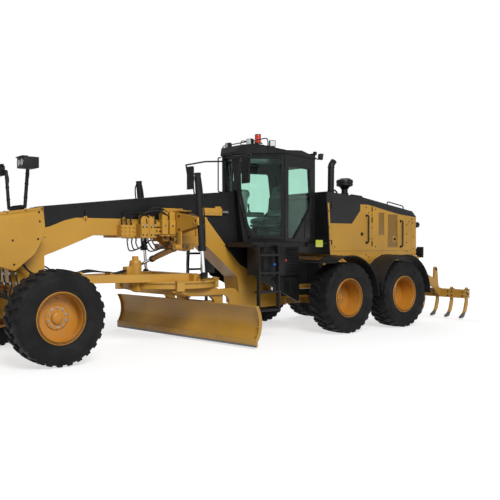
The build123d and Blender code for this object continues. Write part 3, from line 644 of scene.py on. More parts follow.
def hood_doors():
    for where, x, z0, z1, lock in (("front", -2.49, 1.578, 2.092, (-2.36, 1.74)),
            ("rear", -3.53, 1.499, 2.008, (-3.341, 1.648))):
        body = "hood_door_" + where + "_{}"
        grip(x, z0, z1)
        add.pair(f"door_grip_{where}", body, "black_paint")
        for px, pz in DOOR_BOLTS[where]:
            add.bolt((px, HOOD_SIDE - 0.0002, pz), Y, 0.01, 0.008)
        latch(*lock)
        add.pair(f"door_bolts_{where}", body, "black_plastic")
    grilles = ((-3.022, -2.844, 1.726, 2.161), (-3.436, -3.124, 1.489, 2.135))
    for k, (x0, x1, z0, z1) in enumerate(grilles):
        add.box((x0, 0.639, z0), (x1, 0.6425, z1), 0.0005)
        add.pair(f"grille_{k}", "hood_door_rear_{}", "perforated")
        frame_of((x0 - 0.01, z0 - 0.01), (x1 + 0.01, z1 + 0.01))
        add.pair(f"grille_rim_{k}", "hood_door_rear_{}")
    add.box((-3.395, 0.641, 1.594), (-3.287, 0.6435, 1.702), 0.001)
    add.pair("latch_plate", "hood_door_rear_{}")
    for x, wide, zs in ((-1.518, 0.022, (1.58, 2.24)), (-2.652, 0.0176, (1.56, 2.02, 2.22))):
        for z in zs:
            add.bar((x, 0.647, z - 0.045), (x, 0.647, z + 0.045), 0.009, 14)
            add.box((x - wide, 0.6395, z - 0.038), (x + 0.001, 0.6445, z + 0.038), 0.001)
    add.pair("hood_hinges", "rear", "black_paint")


def hood_body():
    add.side(SKIRT, 0.604, HOOD_SIDE)
    add.pair("hood_skirt", "rear")
    for x, z in HOOD_BOLTS:
        add.bolt((x, HOOD_SIDE - 0.0002, z), Y, 0.01, 0.008)
    for x, z in ((-2.484, 1.343), (-2.566, 1.3), (-1.8, 1.24), (-3.3, 1.32), (-3.9, 1.335)):
        add.bolt((x, HOOD_SIDE - 0.0002, z), Y, 0.011, 0.008)
    add.pair("hood_bolts", "rear", "black_plastic")
    for line in ([(-2.184, 0.5, 2.44), (-2.2, 0.5, 2.487), (-2.528, 0.5, 2.468), (-2.556, 0.5, 2.4)],
            [(-3.276, 0.5, 2.295), (-3.3, 0.5, 2.395), (-3.79, 0.5, 2.322), (-3.816, 0.5, 2.22)]):
        add.pipe(bent(line, 0.03, 4), 0.0115, 10, 1)
    add.pair("hood_rails", "rear", "black_paint")
    add.lathe([(0.0, -0.012), (0.03, -0.01), (0.052, 0.004), (0.058, 0.022), (0.058, 0.072),
        (0.054, 0.078), (0.05, 0.072), (0.0, 0.068)], (-4.062, 0.6, 1.943), (-1, 0, 0), 36)
    add.box((-4.072, 0.592, 1.87), (-4.034, 0.608, 1.9), 0.003)
    add.box((-4.072, 0.585, 1.87), (-4.05, 0.615, 1.94), 0.003)
    add.side([(-4.16, 1.495), (-4.04, 1.4), (-4.04, 1.36), (-4.16, 1.29)], 0.59, 0.606)
    add.box((-4.185, 0.575, 1.27), (-4.15, 0.72, 1.49), 0.006)
    add.pair("rear_lamps", "rear", "black_plastic")
    add.lathe([(0.0, 0.0), (0.03, -0.004), (0.05, -0.009)], (-4.136, 0.6, 1.943), (-1, 0, 0), 36)
    add.pair("rear_lens", "rear", "lamp_lens")
    for z in (1.315, 1.415):
        add.box((-4.192, 0.588, z - 0.03), (-4.184, 0.708, z + 0.055), 0.004)
    add.pair("tail_lens", "rear", "red_lens")
    add.box((-2.012, 0.486, 2.452), (-1.91, 0.53, 2.474), 0.004)
    add.pair("hood_marker", "rear", "marker_green")
    add.box((-1.32, 0.612, 1.496), (-1.14, 0.619, 1.622), 0.003)
    add.pair("side_reflector", "rear", "marker_green")
    add.box((-1.49, 0.598, 1.545), (-1.19, 0.612, 1.575), 0.003)
    add.box((-1.3, 0.6, 1.51), (-1.27, 0.612, 1.61), 0.002)
    add.pair("reflector_arm", "rear", "black_paint")
    outer = [(0.612, 1.4), (0.628, 1.46), (0.628, 2.44), (0.6, 2.486), (-0.6, 2.486), (-0.628, 2.44),
        (-0.628, 1.46), (-0.612, 1.4)]
    line = [(-1.395 - 0.085 * (2.505 - z) / 1.135 - 0.004, y, z) for y, z in outer]
    add.pipe(bent(line, 0.05, 4), 0.011, 8, 1)
    add.piece("hood_front_seal", "rear", "black_plastic")
    add.box((-4.0, -0.5, 1.44), (-3.99, 0.5, 2.08), 0.002)
    add.piece("cooler_screen", "rear", "perforated_black")
    for y in (-0.485, 0.485, -0.16, 0.16):
        add.box((-4.052, y - 0.015, 1.44), (-4.0385, y + 0.015, 2.08), 0.003)
    for z in (1.44, 2.065):
        add.box((-4.052, -0.5, z), (-4.0385, 0.5, z + 0.02), 0.003)
    add.piece("rear_grille_frame", "rear")


def stack_and_bowl():
    neck, tip = Vector((-1.88, 0.3, 3.045)), Vector((-1.945, 0.3, 3.118))
    add.pipe(bent([(-1.87, 0.3, 2.4), neck, tip], 0.06, 6), 0.06, 28, 1)
    for z in (2.55, 2.99):
        add.ring((-1.87 - 0.01 * (z - 2.4) / 0.65, 0.3, z), UP, 0.066, 0.058, 0.022, 32)
    add.ring((-1.8705, 0.3, 2.472), UP, 0.085, 0.058, 0.012, 32)
    add.lathe([(0.058, 0.0), (0.0625, 0.0), (0.0625, 0.004), (0.05, 0.004), (0.05, -0.1)], tip,
        tip - neck, 28)
    x, y = -2.463, 0.12
    add.lathe([(0.0, 2.38), (0.062, 2.38), (0.062, 2.5), (0.075, 2.515), (0.075, 2.545), (0.062, 2.56),
        (0.062, 2.62), (0.085, 2.655), (0.11, 2.678), (0.145, 2.686), (0.156, 2.694), (0.16, 2.706),
        (0.16, 2.728), (0.156, 2.734), (0.156, 2.742), (0.16, 2.748), (0.16, 2.792), (0.155, 2.806),
        (0.142, 2.815), (0.12, 2.82), (0.112, 2.832), (0.095, 2.84), (0.03, 2.843), (0.0, 2.843)],
        (x, y, 0), UP, 48)
    for a in around(24):
        p = Vector((x + 0.1595 * math.cos(a), y + 0.1595 * math.sin(a), 2.752))
        add.bar(p, p + Vector((0, 0, 0.036)), 0.0035, 6, 0.001)
    add.ring((x, y, 2.462), UP, 0.085, 0.055, 0.012, 32)
    add.piece("stack_and_bowl", "rear", "black_paint", replaces=["exhaust_and_intake"])
    add.pipe(bent([(-2.03, 0.21, 2.45), (-2.06, 0.2, 2.6), (-2.16, 0.19, 2.56), (-2.2, 0.19, 2.43)],
        0.05, 5), 0.016, 10, 1)
    add.piece("hood_top_lift_eye", "rear", "black_paint")


# The radius of the tandem fenders.
FENDER = 0.73


def fender_trim():
    for place, a0 in (("front", 58), ("rear", 8)):
        x = WHEELS[f"tandem_{place}"][0]
        for y in (0.889, 1.331):
            line = [(u, y, z) for u, z in arc((x, AXLE_HIGH), FENDER, a0, 180, 20)]
            add.pipe(line, 0.008, 8, 1)
            if place == "front":
                top = line[0][2]
                add.pipe([(x + 0.39, y, top - 0.004), (x + 0.756, y, top - 0.004)], 0.008, 8, 1)
        for a in (70, 95, 120, 150, 172):
            out = Vector((math.cos(math.radians(a)), 0, math.sin(math.radians(a))))
            for y in (0.93, 1.03):
                add.bolt(Vector((x, y, AXLE_HIGH)) + out * (FENDER + 0.0005), out, 0.009, 0.007)
        add.pair(f"fender_trim_{place}", "rear", "black_plastic")


# Cab.

# The cab's corner between door and rear side, then the way along (D) and out of (N) each side.
CORNER_B = Vector((-0.226, 0.8, 0))
DOOR_D, DOOR_N = Vector((0.6966, -0.7174, 0)), Vector((0.7174, 0.6966, 0))
REAR_D, REAR_N = Vector((-0.9589, -0.2837, 0)), Vector((-0.2837, 0.9589, 0))
DOOR_GLASS = [(0.078, 1.68), (0.52, 1.68), (0.645, 1.875), (0.765, 2.44), (0.782, 3.01), (0.078, 3.01)]
REAR_PANE = [(0.09, 1.64), (0.3, 1.64), (0.925, 2.235), (0.85, 2.89), (0.09, 2.89)]
CAB_FRONT = [(1.58, 0.275), (2.2, 0.335), (2.7, 0.362), (3.09, 0.378)]


def on_side(way, s, out, z):
    """A point on the cab's side, this far along it and out of it."""
    d, n = (DOOR_D, DOOR_N) if way == "door" else (REAR_D, REAR_N)
    return CORNER_B + d * s + n * out + Vector((0, 0, z))


def front_x(z):
    """The x of the cab's front at this height."""
    for (z0, x0), (z1, x1) in zip(CAB_FRONT, CAB_FRONT[1:]):
        if z <= z1:
            return x0 + (x1 - x0) * (z - z0) / (z1 - z0)
    return CAB_FRONT[-1][1]


def side_matrix(way):
    """Takes x along the cab's side, y up and z outward."""
    d, n = (DOOR_D, DOOR_N) if way == "door" else (REAR_D, REAR_N)
    return Matrix(((d.x, 0, n.x, CORNER_B.x), (d.y, 0, n.y, CORNER_B.y), (0, 1, 0, 0), (0, 0, 0, 1)))


def cab_seals():
    line = [on_side("door", s, -0.016, z) for s, z in DOOR_GLASS]
    add.pipe(closed_bend(line, 0.05), 0.01, 8, 1, closed=True)
    add.pair("door_seal", "cab_door_{}", "black_plastic")
    line = [on_side("rear", s, -0.022, z) for s, z in REAR_PANE]
    add.pipe(closed_bend(line, 0.06), 0.012, 8, 1, closed=True)
    add.pair("pane_seal", "front", "black_plastic")
    line = [(front_x(z) - 0.028, y, z) for y, z in ((0.122, 1.702), (0.122, 2.2), (0.122, 2.7),
        (0.122, 3.027), (-0.122, 3.027), (-0.122, 2.7), (-0.122, 2.2), (-0.122, 1.702))]
    add.pipe(closed_bend(line, 0.03), 0.01, 8, 1, closed=True)
    line = [(-1.222, 0.378, 2.052), (-1.222, 0.378, 2.958), (-1.222, -0.378, 2.958),
        (-1.222, -0.378, 2.052)]
    add.pipe(closed_bend(line, 0.05), 0.011, 8, 1, closed=True)
    add.piece("windshield_seal", "front", "black_plastic")


def inside(outline, x, z):
    """Whether a point lies in an outline."""
    crossings = 0
    for (x0, z0), (x1, z1) in zip(outline, outline[1:] + outline[:1]):
        if (z0 > z) != (z1 > z) and x < x0 + (x1 - x0) * (z - z0) / (z1 - z0):
            crossings += 1
    return crossings % 2 == 1


def door_glass():
    """The door's pane gets the glass as its node's second finish."""
    deep = (-0.03, -0.01)
    for word, side in SIDES:
        node = frame["nodes"][f"cab_door_{word}"]
        node.data.materials.append(FINISHES["tinted_glass"])
        for face in node.data.polygons:
            p = Vector((face.center.x, face.center.y * side, 0)) - CORNER_B
            if deep[0] < p.dot(DOOR_N) < deep[1] and inside(DOOR_GLASS, p.dot(DOOR_D), face.center.z):
                face.material_index = 1


def cab_doors():
    m = side_matrix("door")
    add.box((0.683, 1.93, 0.0), (0.713, 2.08, 0.012), 0.005, m)
    add.box((0.69, 1.955, 0.01), (0.706, 2.055, 0.026), 0.006, m)
    add.box((0.688, 2.095, 0.0), (0.708, 2.115, 0.008), 0.004, m)
    add.box((0.1, 1.642, 0.0), (0.49, 1.662, 0.006), 0.003, m)
    for z in (1.78, 2.34, 2.92):
        add.box((0.045, z - 0.035, 0.0), (0.085, z + 0.035, 0.006), 0.002, m)
    add.pair("door_handle", "cab_door_{}", "black_plastic")
    for z in (1.78, 2.34, 2.92):
        a = on_side("door", 0.012, 0.012, z - 0.05)
        add.bar(a, a + Vector((0, 0, 0.1)), 0.012, 14)
    add.pair("door_hinges", "front", "cab_black")
    low, top, out = on_side("door", 0.612, 0, 1.66), on_side("door", 0.787, 0, 2.36), DOOR_N * 0.062
    add.pipe(bent([low, low + out, top + out, top], 0.05, 5), 0.013, 10, 1)
    add.pair("door_grab", "front", "cab_black")


def cab_outside():
    add.pipe(bent([(0.404, 0.17, 3.06), (0.445, 0.2, 3.06), (0.445, 0.2, 2.46), (0.352, 0.17, 2.46)],
        0.04, 5), 0.0115, 10, 1)
    add.pair("cab_front_grab", "front", "cab_black")
    m = side_matrix("rear")
    for s, z in ((0.72, 1.78), (0.86, 1.78), (0.93, 2.98), (0.1, 2.98), (0.62, 2.98)):
        add.bolt(on_side("rear", s, -0.001, z), REAR_N, 0.01, 0.008)
    add.box((0.66, 1.66, -0.001), (0.97, 2.0, 0.008), 0.004, m)
    for k in range(5):
        add.box((0.7, 1.72 + 0.05 * k, 0.006), (0.93, 1.735 + 0.05 * k, 0.016), 0.003, m)
    add.pair("cab_side_vent", "front", "cab_black")
    box_lamp((0.15, 0.3, 3.302), (1, 0.25, -0.12))
    box_lamp((-0.1, 0.6, 3.262), (0.55, 1, -0.12))
    add.bar((0.13, 0.3, 3.235), (0.13, 0.3, 3.27), 0.012, 12)
    add.bar((-0.11, 0.585, 3.19), (-0.11, 0.585, 3.23), 0.012, 12)
    box_lamp((-1.255, 0.42, 3.155), (-1, 0.1, -0.1), 0.8)
    box_lamp((-1.275, 0.475, 3.2), (-0.4, 1, -0.1), 0.6)
    box_lamp((-1.435, 0.47, 3.15), (-0.8, 0.7, -0.1))
    add.pipe([(-1.25, 0.45, 3.115), (-1.34, 0.455, 3.1), (-1.42, 0.468, 3.115)], 0.01, 8, 4)
    add.bar((-1.235, 0.42, 3.1), (-1.235, 0.42, 3.14), 0.012, 12)
    add.bar((-1.262, 0.46, 3.1), (-1.27, 0.47, 3.18), 0.01, 12)
    add.pair("roof_lamps", "front", "black_plastic")
    lamp_lens((0.15, 0.3, 3.302), (1, 0.25, -0.12))
    lamp_lens((-0.1, 0.6, 3.262), (0.55, 1, -0.12))
    lamp_lens((-1.255, 0.42, 3.155), (-1, 0.1, -0.1), 0.8)
    lamp_lens((-1.435, 0.47, 3.15), (-0.8, 0.7, -0.1))
    add.pair("roof_lenses", "front", "lamp_lens")
    add.pipe(bent([(0.02, 0.62, 3.17), (0.02, 0.62, 3.345), (0.02, -0.62, 3.345), (0.02, -0.62, 3.17)],
        0.16, 7), 0.01, 10, 1)
    add.pipe(bent([(0.22, 0.15, 3.22), (0.22, 0.15, 3.335), (-0.28, 0.15, 3.345), (-0.28, 0.15, 3.22)],
        0.05, 5), 0.009, 10, 1)
    add.piece("roof_rails", "front", "cab_black")
    add.lathe([(0.0, 3.24), (0.064, 3.24), (0.066, 3.26), (0.066, 3.318), (0.06, 3.33), (0.0, 3.332)],
        (-0.17, 0.15, 0), UP, 36)
    add.piece("beacon_base", "front", "black_plastic")
    rows = []
    for k in range(7):
        z = 3.334 + 0.135 * k / 7
        rows += [(0.054, z), (0.0555, z + 0.006), (0.0535, z + 0.014)]
    add.lathe([(0.0, 3.332), (0.05, 3.332)] + rows + [(0.048, 3.474), (0.03, 3.479), (0.0, 3.48)],
        (-0.17, 0.15, 0), UP, 40)
    add.piece("beacon_lens", "front", "beacon_red")
    edge = [(0.412, 0.165), (-0.222, 0.818), (-1.255, 0.512)]
    edge = edge + [(x, -y) for x, y in reversed(edge)]
    add.pipe([Vector((x, y, 3.094)) for x, y in edge], 0.008, 8, 1, closed=True)
    add.box((-0.62, -0.3, 3.195), (-0.4, 0.3, 3.222), 0.012)
    add.piece("roof_trim", "front", "cab_black")
    add.bar((0.374, -0.085, 2.985), (0.398, -0.085, 2.985), 0.018, 16)
    add.pipe([(0.394, -0.085, 2.985), (0.388, -0.04, 2.7), (0.368, 0.0, 2.42)], 0.006, 8, 4)
    add.pipe([(0.372, 0.02, 2.6), (0.358, 0.0, 2.4), (0.345, -0.02, 2.22)], 0.007, 8, 3)
    add.piece("windshield_wiper", "front", "black_plastic")
    line = [on_side("door", s, -0.04, z) * FLIP for s, z in ((0.36, 1.98), (0.4, 2.24), (0.3, 2.62))]
    add.pipe(line, 0.008, 8, 5)
    add.box(line[0] - Vector((0.03, 0.02, 0.12)), line[0] + Vector((0.03, 0.02, 0.0)), 0.008)
    add.piece("door_wiper_right", "cab_door_right", "black_plastic")


def box_lamp(centre, way, scale=1.0):
    """The housing of a work lamp that faces this way."""
    m = Matrix.Translation(centre) @ turn_to(way) @ Matrix.Scale(scale, 4)
    add.box((-0.055, -0.055, -0.045), (0.055, 0.055, 0.03), 0.014, m)
    add.box((-0.048, -0.048, -0.062), (0.048, 0.048, -0.042), 0.01, m)


def lamp_lens(centre, way, scale=1.0):
    """The lens of the same lamp."""
    m = Matrix.Translation(centre) @ turn_to(way) @ Matrix.Scale(scale, 4)
    add.box((-0.044, -0.044, 0.028), (0.044, 0.044, 0.0335), 0.003, m)


def mirrors():
    add.box((0.6165, 0.7, 2.56), (0.6215, 0.84, 2.92), 0.004)
    add.pair("mirror_glass", "front", "mirror")
    line = [(0.621, y, z) for y, z in ((0.69, 2.545), (0.85, 2.545), (0.85, 2.935), (0.69, 2.935))]
    add.pipe(closed_bend(line, 0.03), 0.008, 8, 1, closed=True)
    add.box((0.65, 0.74, 2.7), (0.664, 0.8, 2.86), 0.006)
    for z in (2.72, 2.84):
        add.bolt((0.663, 0.77, z), X, 0.007, 0.006)
    add.pair("mirror_rim", "front", "black_plastic")


# Cab inside.

# How firmly the seat's pads are stuffed.
FILL = 0.75


def cushion(name, lo, hi, pull=0.03, seams=(), lean=0.0, cap=0.018):
    """A stuffed pad that fills a box: a crowned form inflated by the cloth, then its seams."""
    lo, hi = Vector(lo), Vector(hi)
    centre, half = (lo + hi) / 2, (hi - lo) / 2
    bm = bmesh.new()
    bmesh.ops.create_cube(bm, size=2)
    bmesh.ops.subdivide_edges(bm, edges=bm.edges[:], cuts=7, use_grid_fill=True)
    thin = min(range(3), key=lambda i: half[i])
    for v in bm.verts:
        u = v.co.copy()
        wide = [i for i in range(3) if i != thin]
        r = [abs(u[i]) for i in wide]
        round_off = 1 - 0.5 * (max(0, r[0] - 0.75) * max(0, r[1] - 0.75) / 0.0625) * 0.12
        for i in range(3):
            v.co[i] = u[i] * round_off
        swell = 1 - 0.35 * (r[0] ** 4 + r[1] ** 4) / 2
        v.co[thin] = u[thin] * swell * 0.94
        for i in wide:
            v.co[i] *= 1 - pull * (1 - abs(u[wide[1 - wide.index(i)]]) ** 2)
        v.co = Vector([v.co[i] * half[i] for i in range(3)])
    me = bpy.data.meshes.new(name)
    bm.to_mesh(me)
    bm.free()
    obj = bpy.data.objects.new(name, me)
    bpy.context.scene.collection.objects.link(obj)
    bpy.context.view_layer.objects.active = obj
    remesh = obj.modifiers.new("remesh", "REMESH")
    remesh.mode, remesh.voxel_size = "VOXEL", 0.007
    bake(obj)
    inflate(obj, cap)
    sub = obj.modifiers.new("smooth", "SMOOTH")
    sub.factor, sub.iterations = 0.5, 3
    bake(obj)
    me = obj.data
    for v in me.vertices:
        for axis, at, depth in seams:
            gap = abs(v.co[axis] - at)
            v.co[thin] *= 1 - depth * math.exp(-(gap / 0.008) ** 2)
    wide = [i for i in range(3) if i != thin]
    for v in me.vertices:
        edge = max(abs(v.co[i]) / half[i] for i in wide)
        if edge > 0.9:
            near = math.exp(-(v.co[thin] / 0.006) ** 2)
            for i in wide:
                v.co[i] *= 1 + 0.006 * near
    for v in me.vertices:
        x, z = v.co.x, v.co.z
        v.co.x = x - z * lean
        v.co += centre
    me.polygons.foreach_set("use_smooth", [True] * len(me.polygons))
    me.materials.clear()
    me.materials.append(FINISHES["interior_fabric"])
    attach(obj, "front")


def bake(obj):
    """Applies every modifier of a piece to its mesh."""
    deps = bpy.context.evaluated_depsgraph_get()
    me = bpy.data.meshes.new_from_object(obj.evaluated_get(deps))
    obj.modifiers.clear()
    obj.data = me


def inflate(obj, cap):
    """Lets the cloth swell the pad, moving no point further than the cap."""
    scene = bpy.context.scene
    start = [v.co.copy() for v in obj.data.vertices]
    cloth = obj.modifiers.new("cloth", "CLOTH")
    cloth.settings.use_pressure = True
    cloth.settings.uniform_pressure_force = 4 * FILL
    cloth.settings.effector_weights.gravity = 0
    cloth.settings.quality = 4
    cloth.point_cache.frame_start, cloth.point_cache.frame_end = 1, 14
    for f in range(1, 15):
        scene.frame_set(f)
    deps = bpy.context.evaluated_depsgraph_get()
    blown = obj.evaluated_get(deps).to_mesh()
    ends = [v.co.copy() for v in blown.vertices]
    obj.modifiers.clear()
    scene.frame_set(1)
    for v, a, b in zip(obj.data.vertices, start, ends):
        move = b - a
        if move.length > cap:
            move *= cap / move.length
        v.co = a + move


def cab_inside():
    add.box((-0.7, -0.17, 1.642), (-0.42, 0.17, 1.7), 0.01)
    for k in range(5):
        z = 1.705 + 0.03 * k
        add.box((-0.695, -0.16, z), (-0.425, 0.16, z + 0.024), 0.011)
    add.box((-0.78, -0.22, 1.86), (-0.3, 0.22, 1.905), 0.012)
    for s in (1, -1):
        add.box((-0.62, s * 0.295 - 0.03, 1.93), (-0.56, s * 0.295 + 0.03, 2.05), 0.008)
        add.box((-0.61, min(0, s * 0.29), 1.935), (-0.57, max(0, s * 0.29), 1.965), 0.006)
        add.box((-0.7, s * 0.295 - 0.037, 2.045), (-0.285, s * 0.295 + 0.037, 2.098), 0.012)
        add.box((-0.4, s * 0.295 - 0.036, 2.095), (-0.29, s * 0.295 + 0.036, 2.135), 0.012)
    add.side([(-0.775, 1.93), (-0.73, 1.93), (-0.83, 2.6), (-0.87, 2.6)], -0.19, 0.19, 0.01)
    add.piece("seat_frame", "front", "interior_plastic", replaces=["cab_interior"])
    cushion("seat_cushion", (-0.775, -0.235, 1.907), (-0.29, 0.235, 2.012),
        seams=((1, 0.13, 0.16), (1, -0.13, 0.16), (0, 0.12, 0.1)))
    cushion("seat_back", (-0.815, -0.222, 1.99), (-0.715, 0.222, 2.44), lean=0.135,
        seams=((1, 0.12, 0.16), (1, -0.12, 0.16), (2, -0.08, 0.1)))
    cushion("seat_headrest", (-0.9, -0.125, 2.475), (-0.825, 0.125, 2.62), lean=0.1, pull=0.02,
        cap=0.01)
    for word, side in SIDES:
        y0, y1 = sorted((side * 0.262, side * 0.328))
        cushion(f"armrest_{word}", (-0.7, y0, 2.098), (-0.43, y1, 2.136), pull=0.015, cap=0.006)
        add.lathe([(0.0, 0.0), (0.026, 0.0), (0.024, 0.01), (0.016, 0.026), (0.012, 0.045),
            (0.013, 0.075), (0.019, 0.105), (0.02, 0.135), (0.014, 0.152), (0.0, 0.156)],
            (-0.345, side * 0.295, 2.133), (0.12, 0, 1), 20)
        for k in range(3):
            y = side * (0.272 + 0.022 * k)
            add.bar((-0.385, y, 2.134), (-0.385, y, 2.143), 0.006, 10)
        add.piece(f"joystick_{word}", "front", "black_plastic")
    add.side([(0.045, 1.643), (0.19, 1.643), (0.165, 2.05), (0.15, 2.3), (0.165, 2.47), (0.13, 2.505),
        (0.0, 2.5), (-0.045, 2.455), (-0.04, 2.4), (0.01, 2.33), (0.03, 2.05)], -0.092, 0.092, 0.022)
    add.side([(-0.03, 2.43), (0.02, 2.35), (0.026, 2.1), (0.032, 1.9), (0.026, 1.9), (0.01, 2.1),
        (-0.002, 2.33), (-0.04, 2.4)], -0.06, 0.06, 0.004)
    add.piece("console_post", "front", "console_grey")
    add.side([(0.17, 2.44), (0.205, 2.44), (0.225, 2.66), (0.19, 2.66)], -0.11, 0.11, 0.01)
    add.pipe([(0.12, 0, 2.42), (0.165, 0, 2.46), (0.19, 0, 2.5)], 0.016, 10, 4)
    add.piece("console_display", "front", "black_plastic")
    add.side([(0.1665, 2.455), (0.1725, 2.455), (0.1905, 2.645), (0.1845, 2.645)], -0.095, 0.095, 0.001)
    add.piece("console_screen", "front", "screen_glass")
    add.box((-1.195, -0.38, 1.66), (-1.165, 0.38, 2.4), 0.01)
    add.box((-1.195, -0.4, 2.38), (-1.1, 0.4, 2.42), 0.01)
    for s in (1, -1):
        add.box((-1.12, min(s * 0.34, s * 0.41), 1.66), (-0.94, max(s * 0.34, s * 0.41), 2.02), 0.012)
    add.box((0.21, -0.13, 1.643), (0.245, 0.13, 1.76), 0.01)
    add.piece("cab_lining", "front", "console_grey")
    add.box((-0.95, -0.36, 1.641), (0.1, 0.36, 1.65), 0.004)
    for k in range(26):
        add.box((-0.93 + 0.04 * k, -0.34, 1.649), (-0.915 + 0.04 * k, 0.34, 1.6525), 0.001)
    for s in (1, -1):
        add.side([(0.05, 1.652), (0.075, 1.652), (0.135, 1.8), (0.115, 1.81)],
            min(s * 0.105, s * 0.185), max(s * 0.105, s * 0.185), 0.004)
    add.piece("floor_mat", "front", "console_grey")


# Platform and steps.

def platform_details():
    for z in (0.465, 0.76, 1.07, 1.36):
        add.box((0.14, 0.902, z + 0.0245), (0.525, 1.012, z + 0.03), 0.001)
        for k in range(9):
            for y in (0.925, 0.955, 0.985):
                x = 0.165 + 0.0425 * k
                add.ring((x, y, z + 0.029), UP, 0.01, 0.006, 0.006, 12, 0.001)
        add.box((0.14, 1.008, z - 0.004), (0.525, 1.0135, z + 0.03), 0.002)
    add.pair("step_treads", "front", "black_paint")
    for x in (0.118, 0.548):
        for z in (0.62, 0.92, 1.2):
            add.bolt((x, 1.0102, z), Y, 0.01, 0.008)
    add.pair("step_bolts", "front", "black_plastic")
    add.side([(0.62, 1.53), (0.284, 1.2), (-0.038, 1.025), (-0.584, 0.725), (-0.66, 0.69),
        (-0.66, 1.505), (0.3, 1.505)], 0.1905, 0.214, 0.004)
    add.side([(0.325, 1.04), (0.3, 0.985), (-0.234, 0.745), (-0.665, 0.545), (-0.7, 0.57), (-0.7, 1.02),
        (-0.6, 1.04)], 0.613, 0.643, 0.006)
    for x, z in ((-0.1, 0.86), (-0.32, 0.74), (-0.52, 0.66)):
        add.box((x - 0.055, 0.64, z + 0.02), (x + 0.055, 0.652, 0.985), 0.005)
    add.bar((-0.42, 0.635, 0.92), (-0.42, 0.668, 0.92), 0.045, 24)
    add.pair("deck_guard", "front", "black_paint")
    add.box((-0.125, 0.876, 1.06), (0.085, 0.888, 1.47), 0.006)
    add.box((-0.12, 0.886, 1.44), (0.08, 0.896, 1.46), 0.004)
    for z in (1.14, 1.38):
        add.bar((-0.118, 0.89, z - 0.03), (-0.118, 0.89, z + 0.03), 0.007, 12)
    add.box((0.045, 0.886, 1.24), (0.07, 0.9, 1.3), 0.004)
    add.box((-0.62, 0.688, 1.05), (-0.16, 0.697, 1.46), 0.006)
    for k in range(6):
        add.box((-0.58, 0.695, 1.1 + 0.05 * k), (-0.2, 0.703, 1.118 + 0.05 * k), 0.003)
    add.ring((-0.05, 0.78, 1.512), UP, 0.06, 0.045, 0.018, 24)
    add.box((-0.52, 0.7, 1.583), (0.3, 0.88, 1.589), 0.001)
    for k in range(16):
        add.box((-0.5 + 0.05 * k, 0.71, 1.588), (-0.49 + 0.05 * k, 0.87, 1.592), 0.001)
    add.pair("deck_boxes", "front", "black_paint")
    caps = {"yellow": ((0.068, 0.893, 1.451), (-0.16, 0.7, 1.467)), "blue": ((0.13, 0.893, 1.211),),
        "red": ((-0.3, 0.7, 1.271),)}
    for colour, spots in caps.items():
        for x, y, z in spots:
            add.lathe([(0.0, 0.03), (0.014, 0.03), (0.02, 0.026), (0.022, 0.016), (0.022, 0.002),
                (0.016, 0.0), (0.016, -0.02)], (x, y, z), Y, 20)
        add.pair(f"cap_{colour}", "front", f"cap_{colour}")
    for x, z in ((-0.155, 1.43), (-0.182, 1.42), (-0.209, 1.41)):
        add.pipe([(x, 0.69, z + 0.02), (x, 0.706, z), (x, 0.708, z - 0.12), (x, 0.708, z - 0.26),
            (x, 0.69, z - 0.3)], 0.01, 8, 5)
    add.pair("deck_hoses", "front", "black_plastic")
    add.pipe(bent([(-0.66, 0.48, 1.44), (-0.66, 0.6, 1.44), (-0.66, 0.6, 1.16), (-0.66, 0.48, 1.16)],
        0.04, 4), 0.01, 8, 1)
    add.pair("deck_side_bar", "front", "black_paint")


# Front frame, beam and nose.

def beam_details():
    low = [(3.72, 1.438), (3.05, 1.697), (1.86, 1.679)]
    add.side(low + [(x, z - 0.01) for x, z in reversed(low)], 0.149, 0.168, 0.001)
    add.pair("beam_lower_flange")
    for x in (2.55, 3.19):
        z = 1.935
        add.box((x - 0.028, 0.1495, z - 0.022), (x + 0.028, 0.164, z + 0.022), 0.004)
        add.bar((x, 0.16, z), (x, 0.195, z), 0.012, 16)
        add.bar((x, 0.186, z - 0.03), (x, 0.186, z + 0.03), 0.006, 10)
    add.pair("beam_latches")
    for x, z in ((3.8, 2.03), (3.35, 2.09), (2.9, 2.14), (1.35, 2.3), (0.95, 2.33), (0.5, 2.38),
            (0.42, 2.15), (0.4, 1.9), (3.6, 1.92), (0.62, 1.75), (0.8, 1.9)):
        add.bolt((x, 0.1498, z), Y, 0.01, 0.007)
    for x in (2.55, 3.19):
        add.bar((x, 0.15, 2.02), (x, 0.172, 2.02), 0.016, 16)
        add.box((x - 0.012, 0.168, 1.985), (x + 0.012, 0.18, 2.03), 0.004)
    add.pair("cover_bolts", "front", "black_plastic")
    edge = [(3.915, 2.07), (3.759, 2.09), (1.16, 2.374), (0.362, 2.448)]
    add.pipe([Vector((x, 0.146, z - 0.002)) for x, z in edge], 0.007, 8, 1)
    add.pair("cover_edge", "front", "black_paint")
    add.box((0.665, 0.15, 2.025), (1.16, 0.196, 2.15), 0.01)
    add.box((0.74, 0.192, 2.055), (0.86, 0.205, 2.12), 0.006)
    add.box((0.93, 0.192, 2.055), (1.05, 0.205, 2.12), 0.006)
    add.box((0.68, 0.152, 2.145), (0.8, 0.186, 2.18), 0.008)
    for x in (0.7, 0.895, 1.12):
        add.bolt((x, 0.195, 2.088), Y, 0.013, 0.01)
    add.pair("lock_block")
    add.bar((0.545, 0.186, 2.088), (0.67, 0.186, 2.088), 0.03, 24)
    add.ring((0.605, 0.186, 2.088), X, 0.036, 0.028, 0.018, 24)
    add.pair("lock_pin", "front", "steel")
    add.side([(3.9, 2.074), (3.759, 2.092), (1.2, 2.3716), (1.2, 2.38), (3.759, 2.1), (3.9, 2.082)],
        -0.035, 0.035, 0.002)
    add.piece("cover_top_rib", "front", "black_paint")


